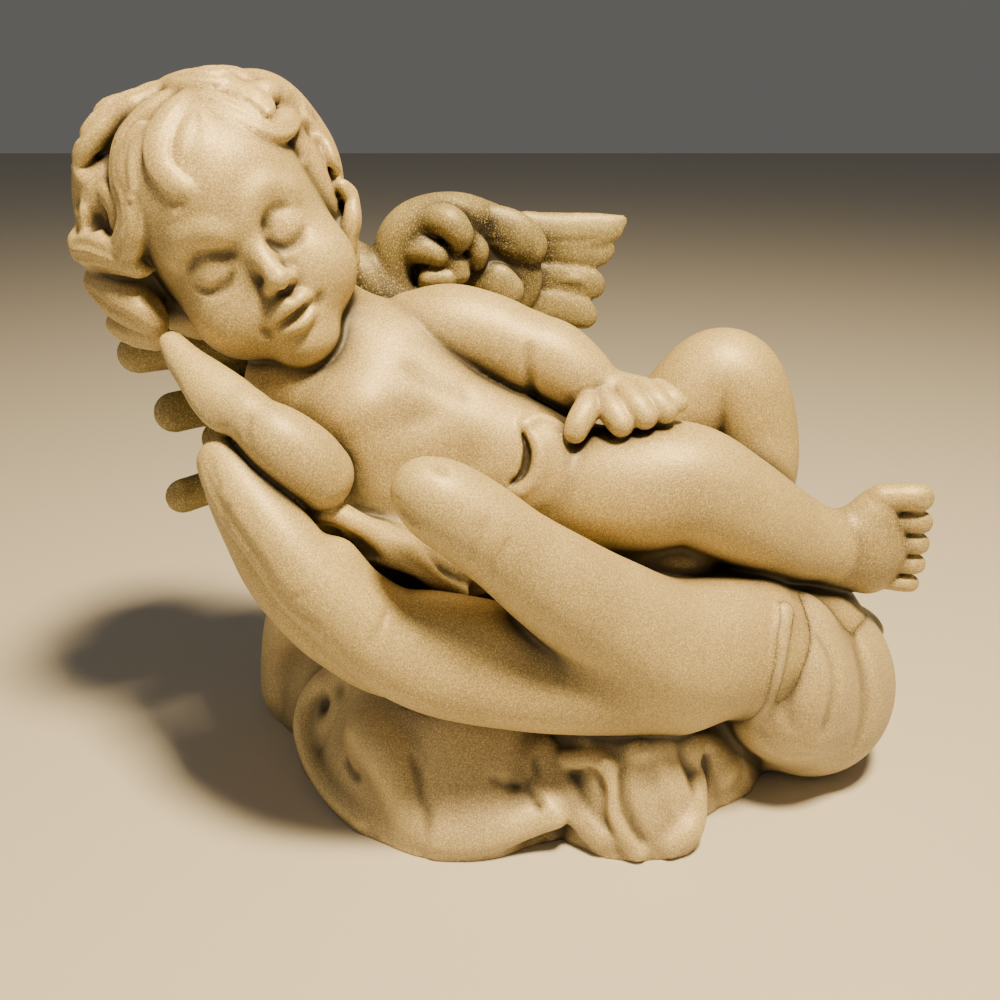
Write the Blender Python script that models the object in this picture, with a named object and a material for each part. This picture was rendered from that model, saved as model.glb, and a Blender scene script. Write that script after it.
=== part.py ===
"""Cherub asleep in an open hand: a tabletop figurine, cast in one piece.

The figure is worked like clay. Each form is a rounded mass or a swept roll, held on a grid
of distances to the surface, and forms run into each other over a stated blend. OpenVDB,
which comes with Blender, turns the finished grid into a mesh. A Decimate modifier thins it,
and a plane cuts it flat below.

Millimetres while modelling, metres in the mesh. +Z is up and the front faces -Y.
"""

import bmesh
import bpy
import numpy as np
import openvdb
from mathutils import Vector

MM = 0.001
VOXEL = 0.9  # spacing of the clay's grid
TRIANGLES = 9600  # of the finished solid
REACH = 9.0  # how far from a form its distances are worked out
FAR = 50.0  # stands for any distance beyond that
BLOCK_LOW = (-104.0, -62.0, -8.0)
BLOCK_HIGH = (116.0, 62.0, 180.0)

# driving places of the pose, and sizes of the cloth
HEAD_CENTRE = (-61.0, -1.0, 140.0)
HEAD_FACING = (0.26, -0.96, 0.10)
HEAD_UP = (-0.50, -0.045, 0.866)
SKULL = (22.0, 25.5, 24.0)  # radii of the shell that the hair lies on
CHEST = (-24.0, 0.0, 102.0)
HIP = (14.0, -4.0, 77.0)
CLOTH_MIDDLE = (5.0, -3.0)
CLOTH_TOP = 42.0
CLOTH_RISE = 36.0  # how far in from its edge the cloth is at its full height
BACK_FOLDS = 7


# ---------------------------------------------------------------- clay


def vec(*values):
    """A point or a direction."""
    return np.array(values, float)


def unit(v):
    """The direction of v."""
    v = np.asarray(v, float)
    return v / np.linalg.norm(v)


def soft_min(a, b, blend):
    """The nearer of two surfaces, filleted where they are within blend of each other."""
    if blend <= 0:
        return np.minimum(a, b)
    near = np.maximum(blend - np.abs(a - b), 0.0) / blend
    return np.minimum(a, b) - near * near * (blend * 0.25)


def spline(points, spans):
    """A Catmull-Rom curve through rows of numbers, with spans steps between two rows."""
    p = np.asarray(points, float)
    p = np.vstack([2 * p[0] - p[1], p, 2 * p[-1] - p[-2]])
    out = []
    for i in range(1, len(p) - 2):
        a, b, c, d = p[i - 1 : i + 3]
        for t in np.arange(spans) / spans:
            linear = (c - a) * t
            square = (2 * a - 5 * b + 4 * c - d) * t**2
            cube = (3 * b - a - 3 * c + d) * t**3
            out.append(0.5 * (2 * b + linear + square + cube))
    out.append(p[-2])
    return np.array(out)


class Place:
    """A local frame for one feature: x to the viewer's right, y away, z up."""

    def __init__(self, origin, facing, up):
        back = -unit(facing)
        right = unit(np.cross(back, up))
        self.origin = np.asarray(origin, float)
        self.axes = np.column_stack([right, back, np.cross(right, back)])

    def at(self, x, y, z):
        """A local point in the figure's own frame."""
        return self.origin + self.axes @ vec(x, y, z)

    def path(self, rows):
        """Rows of (x, y, z, radius) in the figure's own frame."""
        return [(*self.at(*row[:3]), row[3]) for row in rows]


class Clay:
    """A block of clay: a grid of distances to the surface, less than zero inside."""

    def __init__(self, voxel):
        self.voxel = voxel
        self.first = np.floor(np.array(BLOCK_LOW) / voxel).astype(int)
        last = np.ceil(np.array(BLOCK_HIGH) / voxel).astype(int)
        self.axes = []
        for i in range(3):
            steps = np.arange(self.first[i], last[i] + 1)
            self.axes.append((steps * voxel).astype(np.float32))
        self.field = np.full([len(a) for a in self.axes], FAR, np.float32)
        self.used = []

    def window(self, low, high):
        """The part of the grid between two corners, and its coordinates."""
        cut = []
        for i in range(3):
            start = int(np.floor(low[i] / self.voxel)) - self.first[i]
            stop = int(np.ceil(high[i] / self.voxel)) + 1 - self.first[i]
            size = len(self.axes[i])
            cut.append(slice(min(max(start, 0), size), max(min(stop, size), 0)))
        axes = [self.axes[i][cut[i]] for i in range(3)]
        return tuple(cut), np.meshgrid(*axes, indexing="ij", sparse=True)

    def join(self, cut, distance, blend):
        """Adds a form that is worked out over part of the grid."""
        self.field[cut] = soft_min(self.field[cut], distance, blend)
        self.used.append(cut)

    def mass(self, centre, radii, axes=None, blend=3.0):
        """Adds an ellipsoid, its radii along the columns of axes."""
        axes = np.eye(3) if axes is None else axes
        reach = np.abs(axes) @ np.asarray(radii, float) + REACH
        cut, grid = self.window(np.asarray(centre) - reach, np.asarray(centre) + reach)
        offset = [grid[i] - centre[i] for i in range(3)]
        local = [sum(axes[i, k] * offset[i] for i in range(3)) / radii[k] for k in range(3)]
        outer = np.sqrt(sum(v * v for v in local))
        inner = np.sqrt(sum((v / r) ** 2 for v, r in zip(local, radii))) + 1e-9
        self.join(cut, (outer * (outer - 1.0) / inner).astype(np.float32), blend)

    def swept(self, points, reach, flat, facing):
        """Distances to a roll swept along rows of (x, y, z, radius).

        A flat under 1 thins the roll along facing, which is a direction or a function that
        gives one at a point.
        """
        margin = points[:, 3].max() + reach
        cut, _ = self.window(points[:, :3].min(axis=0) - margin, points[:, :3].max(axis=0) + margin)
        origin = [s.start for s in cut]
        result = np.full([s.stop - s.start for s in cut], FAR, np.float32)
        for a, b in zip(points[:-1], points[1:]):
            part, grid = self.window(np.minimum(a, b)[:3] - margin, np.maximum(a, b)[:3] + margin)
            if any(s.start >= s.stop for s in part):
                continue
            along = b[:3] - a[:3]
            length2 = max(float(along @ along), 1e-9)
            off = [grid[i] - a[i] for i in range(3)]
            t = np.clip(sum(off[i] * along[i] for i in range(3)) / length2, 0.0, 1.0)
            off = [off[i] - t * along[i] for i in range(3)]
            radius = a[3] + t * (b[3] - a[3])
            square = sum(v * v for v in off)
            if flat < 1.0:
                normal = facing(0.5 * (a[:3] + b[:3])) if callable(facing) else unit(facing)
                normal = unit(normal - (normal @ along) * along / length2)
                thin = sum(off[i] * normal[i] for i in range(3)) ** 2
                wide = np.maximum(square - thin, 0.0)
                outer = np.sqrt(wide / radius**2 + thin / (radius * flat) ** 2)
                inner = np.sqrt(wide / radius**4 + thin / (radius * flat) ** 4) + 1e-9
                distance = outer * (outer - 1.0) / inner
            else:
                distance = np.sqrt(square) - radius
            local = tuple(slice(s.start - o, s.stop - o) for s, o in zip(part, origin))
            result[local] = np.minimum(result[local], distance.astype(np.float32))
        return cut, result

    def roll(self, points, blend=3.0, flat=1.0, facing=None, spans=9):
        """Adds a swept roll, smooth through its points."""
        cut, distance = self.swept(spline(points, spans), REACH, flat, facing)
        self.join(cut, distance, blend)

    def probe(self, point):
        """The distance to the surface at a point, and the way out from it."""
        place = np.asarray(point, float) / self.voxel - self.first
        low = np.clip(np.floor(place).astype(int), 0, np.array(self.field.shape) - 2)
        part = np.clip(place - low, 0.0, 1.0)
        cube = self.field[tuple(slice(n, n + 2) for n in low)].astype(float)
        inside = [vec(1 - t, t) for t in part]
        slope = vec(-1, 1)
        distance = np.einsum("ijk,i,j,k", cube, *inside)
        way = []
        for i in range(3):
            weights = [slope if k == i else inside[k] for k in range(3)]
            way.append(np.einsum("ijk,i,j,k", cube, *weights))
        return distance, np.array(way) / max(np.linalg.norm(way), 1e-6)

    def settle(self, points, rise=0.0):
        """Moves rows of (x, y, z, ...) to the surface, or to rise above it."""
        settled = np.array(points, float)
        for row in settled:
            for _ in range(5):
                distance, way = self.probe(row[:3])
                row[:3] -= (distance - rise) * way
        return settled

    def carve(self, points, blend=1.0, flat=1.0, facing=None):
        """Takes a swept hollow out."""
        cut, distance = self.swept(spline(points, 9), REACH, flat, facing)
        self.field[cut] = -soft_min(-self.field[cut], distance, blend)

    def stroke(self, points, depth, spans=5, settle=True):
        """Presses a groove along rows of (x, y, z, width), or a ridge if depth is negative.

        It dies away towards both of its ends.
        """
        points = spline(points, spans)
        if settle:
            points = self.settle(points)
        width = float(points[:, 3].mean())
        along = np.linspace(-1.0, 1.0, len(points))
        points[:, 3] = -1.5 * width * np.abs(along) ** 5
        cut, distance = self.swept(points, 2.4 * width, 1.0, None)
        self.field[cut] += depth * np.exp(-((distance / width) ** 2)).astype(np.float32)

    def dent(self, centre, width, depth):
        """Presses a round dimple, or raises a bump if depth is negative."""
        centre = np.asarray(centre, float)
        cut, grid = self.window(centre - 2.4 * width, centre + 2.4 * width)
        square = sum((grid[i] - centre[i]) ** 2 for i in range(3))
        self.field[cut] += depth * np.exp(-square / width**2).astype(np.float32)

    def take(self, other, blend):
        """Joins another block, over the part of it that is used."""
        cut = []
        for i in range(3):
            start = min(s[i].start for s in other.used)
            stop = max(s[i].stop for s in other.used)
            cut.append(slice(start, stop))
        self.join(tuple(cut), other.field[tuple(cut)], blend)

    def surface(self):
        """(points in mm, quads) of the surface."""
        band = 3.0 * self.voxel
        grid = openvdb.FloatGrid(background=band)
        grid.copyFromArray(np.clip(self.field, -band, band).astype(np.float32))
        points, quads = grid.convertToQuads(isovalue=0.0)
        return (points + self.first) * self.voxel, quads


# ---------------------------------------------------------------- the great hand

HAND_THUMB = (
    (58, -20, 42, 17),
    (38, -30, 47, 16),
    (23, -37, 59, 13.3),
    (11, -42, 70, 11.2),
    (3, -44.5, 77.5, 9.8),
    (-4.5, -46, 84.5, 9.3),
    (-11, -46.5, 89.3, 8.8),
    (-14.4, -46.5, 91.5, 7.4),
)
HAND_INDEX = (
    (40, -26, 38, 15),
    (18, -34, 40, 13),
    (3, -38, 42, 11.5),
    (-13, -42, 47, 10.3),
    (-25, -44, 55.5, 9.4),
    (-32, -45.5, 63.5, 8.6),
    (-39, -45.5, 71.5, 8.2),
    (-45, -43.5, 79.5, 7.6),
    (-51, -40, 86, 7.2),
    (-55, -37, 90.5, 6.6),
    (-57.5, -34.5, 93.5, 5.8),
)
HAND_MIDDLE = (
    (4, -22, 38, 12),
    (-23, -28, 43.5, 10.4),
    (-34.4, -30, 50.7, 9.8),
    (-42, -30, 57.7, 9.4),
    (-48.5, -30, 66.8, 8.8),
    (-52.6, -29, 75.8, 8.4),
    (-56.5, -27, 84, 7.8),
    (-58.5, -25, 88.5, 7),
)
HAND_RING = (
    (-2, -6, 36, 12),
    (-26, -12, 42, 10.4),
    (-42, -15, 55, 9.4),
    (-52, -15, 69, 8.4),
    (-56, -13, 84, 7),
)
HAND_LITTLE = (
    (-4, 14, 44, 12),
    (-26, 8, 46, 9.6),
    (-40, 4, 56, 8.2),
    (-50, 3, 68, 7.4),
    (-54, 3, 81, 6),
)


def great_hand(clay):
    """The open left hand that carries the child, palm up, fingers to -X."""
    clay.roll([(76, -2, 34, 19), (56, -12, 38, 19), (36, -20, 42, 17), (14, -26, 45, 13)], 6)
    clay.roll([(72, 6, 36, 17), (44, 14, 40, 17), (14, 18, 42, 14), (-10, 14, 46, 12)], 8)
    clay.roll([(40, -4, 40, 16), (10, -8, 40, 15), (-12, -12, 45, 13)], 8)
    clay.roll(HAND_THUMB, 5)
    clay.roll(HAND_INDEX, 5)
    for finger in (HAND_MIDDLE, HAND_RING, HAND_LITTLE):
        clay.roll(finger, 1.2)
    # the groove beside the index finger, the nails, and the creases of the joints
    clay.stroke(
        [
            (-59.7, -34, 84.4, 1.2),
            (-51.4, -37, 71.8, 1.2),
            (-39.4, -38, 56.6, 1.2),
            (-27.2, -36, 41.9, 1.2),
        ],
        1,
    )
    clay.stroke([(-61.2, -41, 98.6, 0.8), (-58.8, -43, 94.5, 0.8), (-56.3, -45, 90.4, 0.8)], 0.5)
    clay.stroke(
        [
            (-22.4, -52, 94, 0.7),
            (-20.7, -53, 92.1, 0.7),
            (-18.5, -54, 90.8, 0.7),
            (-15.8, -54, 88.3, 0.7),
        ],
        0.9,
    )
    clay.dent((-21.4, -53, 96), 3, 0.5)
    clay.stroke([(-13.9, -52, 101.4, 0.6), (-11.9, -53.5, 100.4, 0.7), (-10, -54, 98.5, 0.6)], 1.6)
    for crease in (
        [(-5.6, -52, 87.6, 0.7), (-4.2, -52.6, 90, 0.7), (-2.9, -53, 92.2, 0.7)],
        [(-6.6, -50, 80.2, 0.8), (-4, -51, 83.6, 0.8), (-1.6, -52, 87, 0.8)],
        [(-53.5, -52, 91.2, 0.7), (-52, -52.6, 90, 0.7), (-50.3, -53, 89.2, 0.7)],
        [(-45.4, -51, 73.3, 0.8), (-43, -52, 72, 0.8), (-40.7, -52, 71.8, 0.8)],
        [(-28.3, -50, 65.5, 0.8), (-25.4, -50, 67.4, 0.8), (-22.6, -50, 68.6, 0.8)],
    ):
        clay.stroke(crease, 0.5)


# ---------------------------------------------------------------- the child


def trunk(clay):
    """Chest, belly and hips, lying back with the right side down."""
    clay.mass(CHEST, (18, 17, 18), blend=0)
    clay.mass((-30, -11, 97), (14, 17, 15), blend=8)
    clay.mass((-27, -13, 82), (15, 15, 16), blend=8)
    clay.mass((-14, -7, 90), (19, 17, 18), blend=8)
    clay.mass((2, -7, 84), (19, 17, 17), blend=8)
    clay.mass(HIP, (18, 17, 16), blend=8)
    clay.mass((-12, -8, 66), (24, 22, 14), blend=8)
    clay.mass((32, -6, 62), (24, 18, 13), blend=8)
    # neck
    clay.roll([(-30, -2, 106, 13), (-38, 0, 113, 12), (-48, 0, 121, 11)], 6)
    # strips of cloth between the belly and the index finger
    clay.roll(
        [
            (-47, -34, 86, 3.4),
            (-42.1, -34.6, 83, 3),
            (-35.7, -34.6, 82.2, 3),
            (-32.1, -35, 79.6, 2.6),
            (-30, -35.6, 76, 2.2),
            (-30.4, -36, 72, 1.6),
        ],
        1,
    )
    clay.roll(
        [
            (-31.9, -33, 79.4, 2.2),
            (-24.2, -33, 73.4, 2.2),
            (-17.8, -33, 67.8, 2.2),
            (-12.9, -32, 63.9, 2),
            (-9, -30, 61, 2),
        ],
        1,
    )
    clay.carve([(-26, -36, 68.6, 1.6), (-20.8, -36.5, 65.2, 2.4), (-15.5, -36, 62, 1.8)], 1)
    # the cloth at the loins, with its open edge
    loin = [
        (9, -18, 99, 4),
        (12.5, -20, 94.5, 5),
        (13, -23, 87, 5),
        (9.5, -25, 82, 4.5),
        (2, -27, 79.5, 4),
    ]
    clay.roll(clay.settle(loin, -3.6), 2.5)
    slit = [
        (5, -20, 96.8, 0.6),
        (5.4, -22, 94.2, 1.2),
        (5.6, -24, 91.2, 1.9),
        (4.9, -25.5, 88, 1.8),
        (3.2, -26.5, 85.2, 0.9),
    ]
    clay.carve(clay.settle(slit, -0.8), 0.5, flat=0.9, facing=(0.4, -0.8, 0.3))
    lip = [
        (5.2, -20, 97.8, 0.9),
        (6.9, -22.5, 94.6, 1),
        (8.1, -25, 91.5, 1.1),
        (7.6, -26.5, 88.1, 1.1),
        (5.6, -27.5, 85.2, 1),
        (3, -27.5, 84.6, 0.8),
    ]
    clay.roll(clay.settle(lip, -0.1), 0.9)
    top = [(5.3, -19.5, 98, 1), (8.9, -18, 100, 1.1), (12.5, -17, 99.9, 1.1), (17, -17, 97.5, 1)]
    clay.roll(clay.settle(top, -0.3), 1)
    # soft folds of the belly, and the crease from the armpit
    clay.stroke([(-13, -24, 99, 1.8), (-9, -25, 103, 1.8)], 0.5)
    clay.stroke(
        [(-30, -22, 104, 1.6), (-19, -22, 106, 1.6), (-8, -20, 103, 1.6), (2, -18, 98, 1.6)],
        0.5,
    )


LEG_RIGHT = (
    (14, -8, 77, 15),
    (28, -13, 79, 15.5),
    (42, -14, 81, 14.5),
    (54, -12, 75, 13.3),
    (68, -8, 66, 11.6),
    (80, -6, 61.5, 8.6),
)
LEG_LEFT = (
    (22, 10, 68, 14),
    (43.5, 12, 87, 12.8),
    (52, 14, 96, 13),
    (56.4, 14, 98.3, 13),
    (59.6, 13, 95, 13),
    (62.6, 12, 86, 12.8),
    (63.6, 10, 76, 12.4),
    (64, 10, 62, 10),
)


def legs(clay):
    """The right leg crosses in front, the left knee is raised behind it."""
    clay.roll(LEG_RIGHT, 4)
    clay.roll(LEG_LEFT, 3)
    clay.roll([(64, 11, 60, 9), (68, 11, 55, 7.5), (78, 11, 53, 6.5), (86, 11, 52, 5)], 3)
    for i in range(5):
        toe = [(80, 6 + 2.8 * i, 52, 3), (92 - 1.2 * i, 5 + 3.1 * i, 51.5, 2.6 - 0.15 * i)]
        clay.roll(toe, 0.6)


FOOT_SOLE = ((76, -6, 62, 9), (83, -5.5, 60.5, 10), (88, -5, 60.6, 11), (90, -5, 60.8, 11.4))
# rows of (height, how far out it ends, radius)
FOOT_TOES = (
    (75, 104.4, 3.5),
    (68.6, 105.2, 2.9),
    (62.9, 105.3, 2.75),
    (57.4, 105.2, 2.6),
    (52.1, 104.4, 2.3),
)


def foot(clay):
    """The right foot: its upper side faces the front, and the big toe is uppermost."""
    clay.roll(FOOT_SOLE, 3, flat=0.7, facing=(0, -1, 0))
    clay.roll([(92.5, -4.6, 54, 5.4), (92.5, -4.6, 70.6, 5.4)], 3)
    for height, end, radius in FOOT_TOES:
        root = (93, -5.6, 61 + 0.94 * (height - 61), radius)
        joint = (end - radius - 2.5, -7.4, height, radius)
        clay.roll([root, joint, (end - radius, -7.8, height, radius)], 0.5)
        nail = (end - 0.7 * radius, -7.8 - 0.9 * radius, height + 0.1 * radius)
        clay.dent(nail, 0.45 * radius, 0.5)


LEFT_THUMB = (
    (21.3, -11, 100.8, 2.6),
    (19.1, -16, 99, 2.9),
    (17.2, -18.5, 96.6, 2.8),
    (16.3, -19.5, 93.4, 2.5),
)
LEFT_FINGERS = (
    ((23.7, -12, 101.1, 2.8), (25.5, -16.6, 98.6, 2.8), (27.2, -19, 96.3, 2.7)),
    ((28.4, -12, 102.1, 2.8), (30.7, -16.6, 100.2, 2.8), (32.8, -18.6, 98.1, 2.7)),
    ((32.7, -11, 102.4, 2.6), (35.3, -15.2, 100.8, 2.6), (37.6, -17, 98.9, 2.5)),
    ((36.2, -9, 102.2, 2.4), (38.5, -13, 101.4, 2.4), (40.4, -14.3, 100.2, 2.2)),
)


def left_arm(clay):
    """Shoulder, bent elbow, and the hand laid on the thigh."""
    clay.roll(
        [(-19.6, 3, 112, 10.6), (-11.7, 1.5, 113.4, 11), (-3, 0, 112, 10.6), (4, -1.5, 109.6, 10)],
        4,
    )
    clay.roll(
        [
            (7, -2, 108.6, 9.8),
            (12, -3.2, 107.4, 9.6),
            (17, -5, 104.6, 8.6),
            (21.5, -6.6, 102, 6.8),
            (25, -8, 100.8, 5.6),
        ],
        1.5,
    )
    clay.stroke(
        [
            (6.8, -11, 114, 1.1),
            (6.2, -12, 110.6, 1.1),
            (6.4, -12, 106.4, 1.1),
            (7.4, -10, 101.6, 1.1),
            (8.6, -7, 98, 1.1),
        ],
        1.2,
    )
    clay.stroke([(17.6, -14, 100.6, 0.8), (21.4, -14, 103, 0.8), (24.6, -13, 105.4, 0.8)], 0.4)
    clay.mass((29, -8.5, 101.2), (8.6, 5, 4.4), blend=2.5)
    clay.roll(LEFT_THUMB, 1.2)
    for finger in LEFT_FINGERS:
        clay.roll(finger, 0.5)


RIGHT_FOREARM = (
    (-38.6, -34, 90.8, 7.8),
    (-41, -35.5, 94.6, 7.9),
    (-45.2, -36, 98.9, 7.2),
    (-49.6, -35, 102, 5.8),
    (-52, -34, 103.8, 5.3),
)
RIGHT_HAND = (
    (-52, -34, 104, 5.2),
    (-56.4, -31.5, 106.6, 5.1),
    (-61, -28.5, 109.2, 4.2),
    (-66.4, -24.5, 113, 3),
    (-70, -21.5, 116, 2.2),
)
RIGHT_THUMB = (
    (-55, -33.5, 103, 3),
    (-60, -31.5, 106, 2.4),
    (-64.6, -28.6, 109.4, 2),
    (-67.4, -26.6, 112.2, 1.5),
)


def right_arm(clay):
    """The elbow is forward and low, and the forearm runs up to lie under the cheek."""
    clay.roll(RIGHT_FOREARM, 2)
    clay.roll(RIGHT_HAND, 1.4, flat=0.8, facing=(0.3, -0.6, 0.7))
    clay.roll(RIGHT_THUMB, 0.6)
    clay.stroke([(-49.8, -40, 106.6, 0.7), (-50.6, -41, 103.2, 0.7), (-49.6, -40, 99.4, 0.7)], 0.7)


HEAD = Place(HEAD_CENTRE, HEAD_FACING, HEAD_UP)


def head(clay):
    """Skull and face, with closed eyes and the mouth a little open."""
    face, axes = HEAD, HEAD.axes
    clay.mass(face.at(0, 3, 3), (22, 26, 25), axes, 0)
    clay.mass(face.at(0, -12, 6), (16, 12, 14), axes, 8)
    clay.mass(face.at(0, -8, -14), (18, 14.5, 19.5), axes, 8)
    clay.mass(face.at(0, -17.5, -22), (8, 6.5, 6.5), axes, 5)
    clay.mass(face.at(-0.5, -17, -30), (7, 6, 5.5), axes, 6)
    for side in (-1, 1):
        clay.mass(face.at(10 * side, -14.5, -18), (8.4, 8.2, 8.6), axes, 6)
        eye(clay, side)
    # nose: the bridge, the ball of the tip, the wings and the nostrils
    nose = [
        (1.4, -20, -1, 2.4),
        (1.3, -21.2, -5, 2.2),
        (1.2, -23, -9, 2),
        (1.3, -25, -12.4, 2),
        (1.5, -26.2, -14.8, 2.2),
    ]
    clay.roll(face.path(nose), 3)
    clay.mass(face.at(1.5, -26.4, -15.4), (2.4, 2.5, 2.2), axes, 1.2)
    for x in (-0.9, 3.9):
        clay.mass(face.at(x, -24.2, -16.2), (1.5, 2.1, 1.5), axes, 1)
    for x in (0.4, 2.7):
        clay.dent(face.at(x, -26, -17.8), 0.8, 0.8)
    # lips, a little apart, and the hollows at their corners
    upper = [
        (-5.2, -23.2, -22.9, 0.7),
        (-2.6, -24.4, -22, 1.2),
        (0.4, -25.2, -21.6, 1.3),
        (1.9, -25.2, -21.9, 1.1),
        (3.4, -24.9, -21.6, 1.2),
        (5.2, -23.2, -22.6, 0.7),
    ]
    lower = [
        (-3.9, -23.2, -24.4, 0.9),
        (-1.6, -24.1, -25, 1.3),
        (0.8, -24.3, -25, 1.4),
        (3.3, -23.6, -24.3, 0.9),
    ]
    clay.roll(face.path(upper), 1.4)
    clay.roll(face.path(lower), 1.4)
    gap = [
        (-5.6, -23.6, -23.3, 0.6),
        (-2.7, -24.8, -23.4, 0.6),
        (0.4, -25.2, -23.3, 0.6),
        (2.9, -24.9, -23.1, 0.6),
        (5.3, -23.6, -23.1, 0.6),
    ]
    clay.stroke(face.path(gap), 1.7)
    clay.stroke(face.path([(1.4, -25.2, -18.8, 0.9), (1.6, -25.4, -20.2, 0.9)]), 0.4)
    clay.stroke(face.path([(-3, -24, -27.3, 1.6), (3, -24, -27.3, 1.6)]), 0.6)
    for x in (-6.7, 6.3):
        clay.dent(face.at(x, -23, -23.3), 1.6, 0.9)


def eye(clay, side):
    """Adds one closed eye in its socket; side is -1 or 1."""
    face, axes = HEAD, HEAD.axes
    clay.dent(face.at(4.6 * side, -22.5, -5.6), 2.8, 1.7)
    clay.mass(face.at(9.4 * side, -17.2, -8.2), (6.4, 4.4, 4.4), axes, 3.5)
    clay.dent(face.at(9.4 * side, -22, -14.2), 2.6, 0.8)
    crease = [(12.6, -21, -4, 0.8), (9.5, -22, -2.9, 0.8), (6, -22.5, -4, 0.8)]
    clay.stroke(face.path([(side * x, y, z, w) for x, y, z, w in crease]), 0.2)
    lash = [
        (4.4, -22, -8.4, 0.6),
        (6.2, -22.4, -10.6, 0.6),
        (9, -22.4, -11.7, 0.6),
        (11.8, -21.6, -10.8, 0.6),
        (13.6, -20, -8.4, 0.6),
    ]
    clay.stroke(face.path([(side * x, y, z, w) for x, y, z, w in lash]), 0.9)
    brow = [(2.6, -23.4, -2.6, 1.8), (6, -24.2, 0, 1.8), (11, -23, 0.8, 1.8), (15, -20, -2, 1.6)]
    clay.roll(clay.settle(face.path([(side * x, y, z, w) for x, y, z, w in brow]), -1.2), 3)


HAIR_FLAT = 0.85
# what the outer locks lie on, either side, as rows of (x, y, z, radius) in the head's own frame
HAIR_BEDS = (
    (
        (-6.8, 2, 27.7, 6),
        (-12.6, 2, 25.9, 6.2),
        (-16.2, 2.5, 23.3, 6),
        (-19.3, 2, 19.1, 5.6),
        (-22.7, 1, 15.1, 5.4),
        (-25.4, 0, 10.7, 5.4),
    ),
    (
        (20.7, -1, 16.3, 5),
        (24.8, 0, 11.4, 5),
        (26.1, 2, 4.6, 5.4),
        (25, 2, -0.9, 5.6),
        (22.4, 2, -6.4, 5.2),
        (21.5, 3, -12.9, 5),
        (19.4, 3, -18.1, 4.6),
        (17.5, 3, -21.8, 4),
    ),
)
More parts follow.
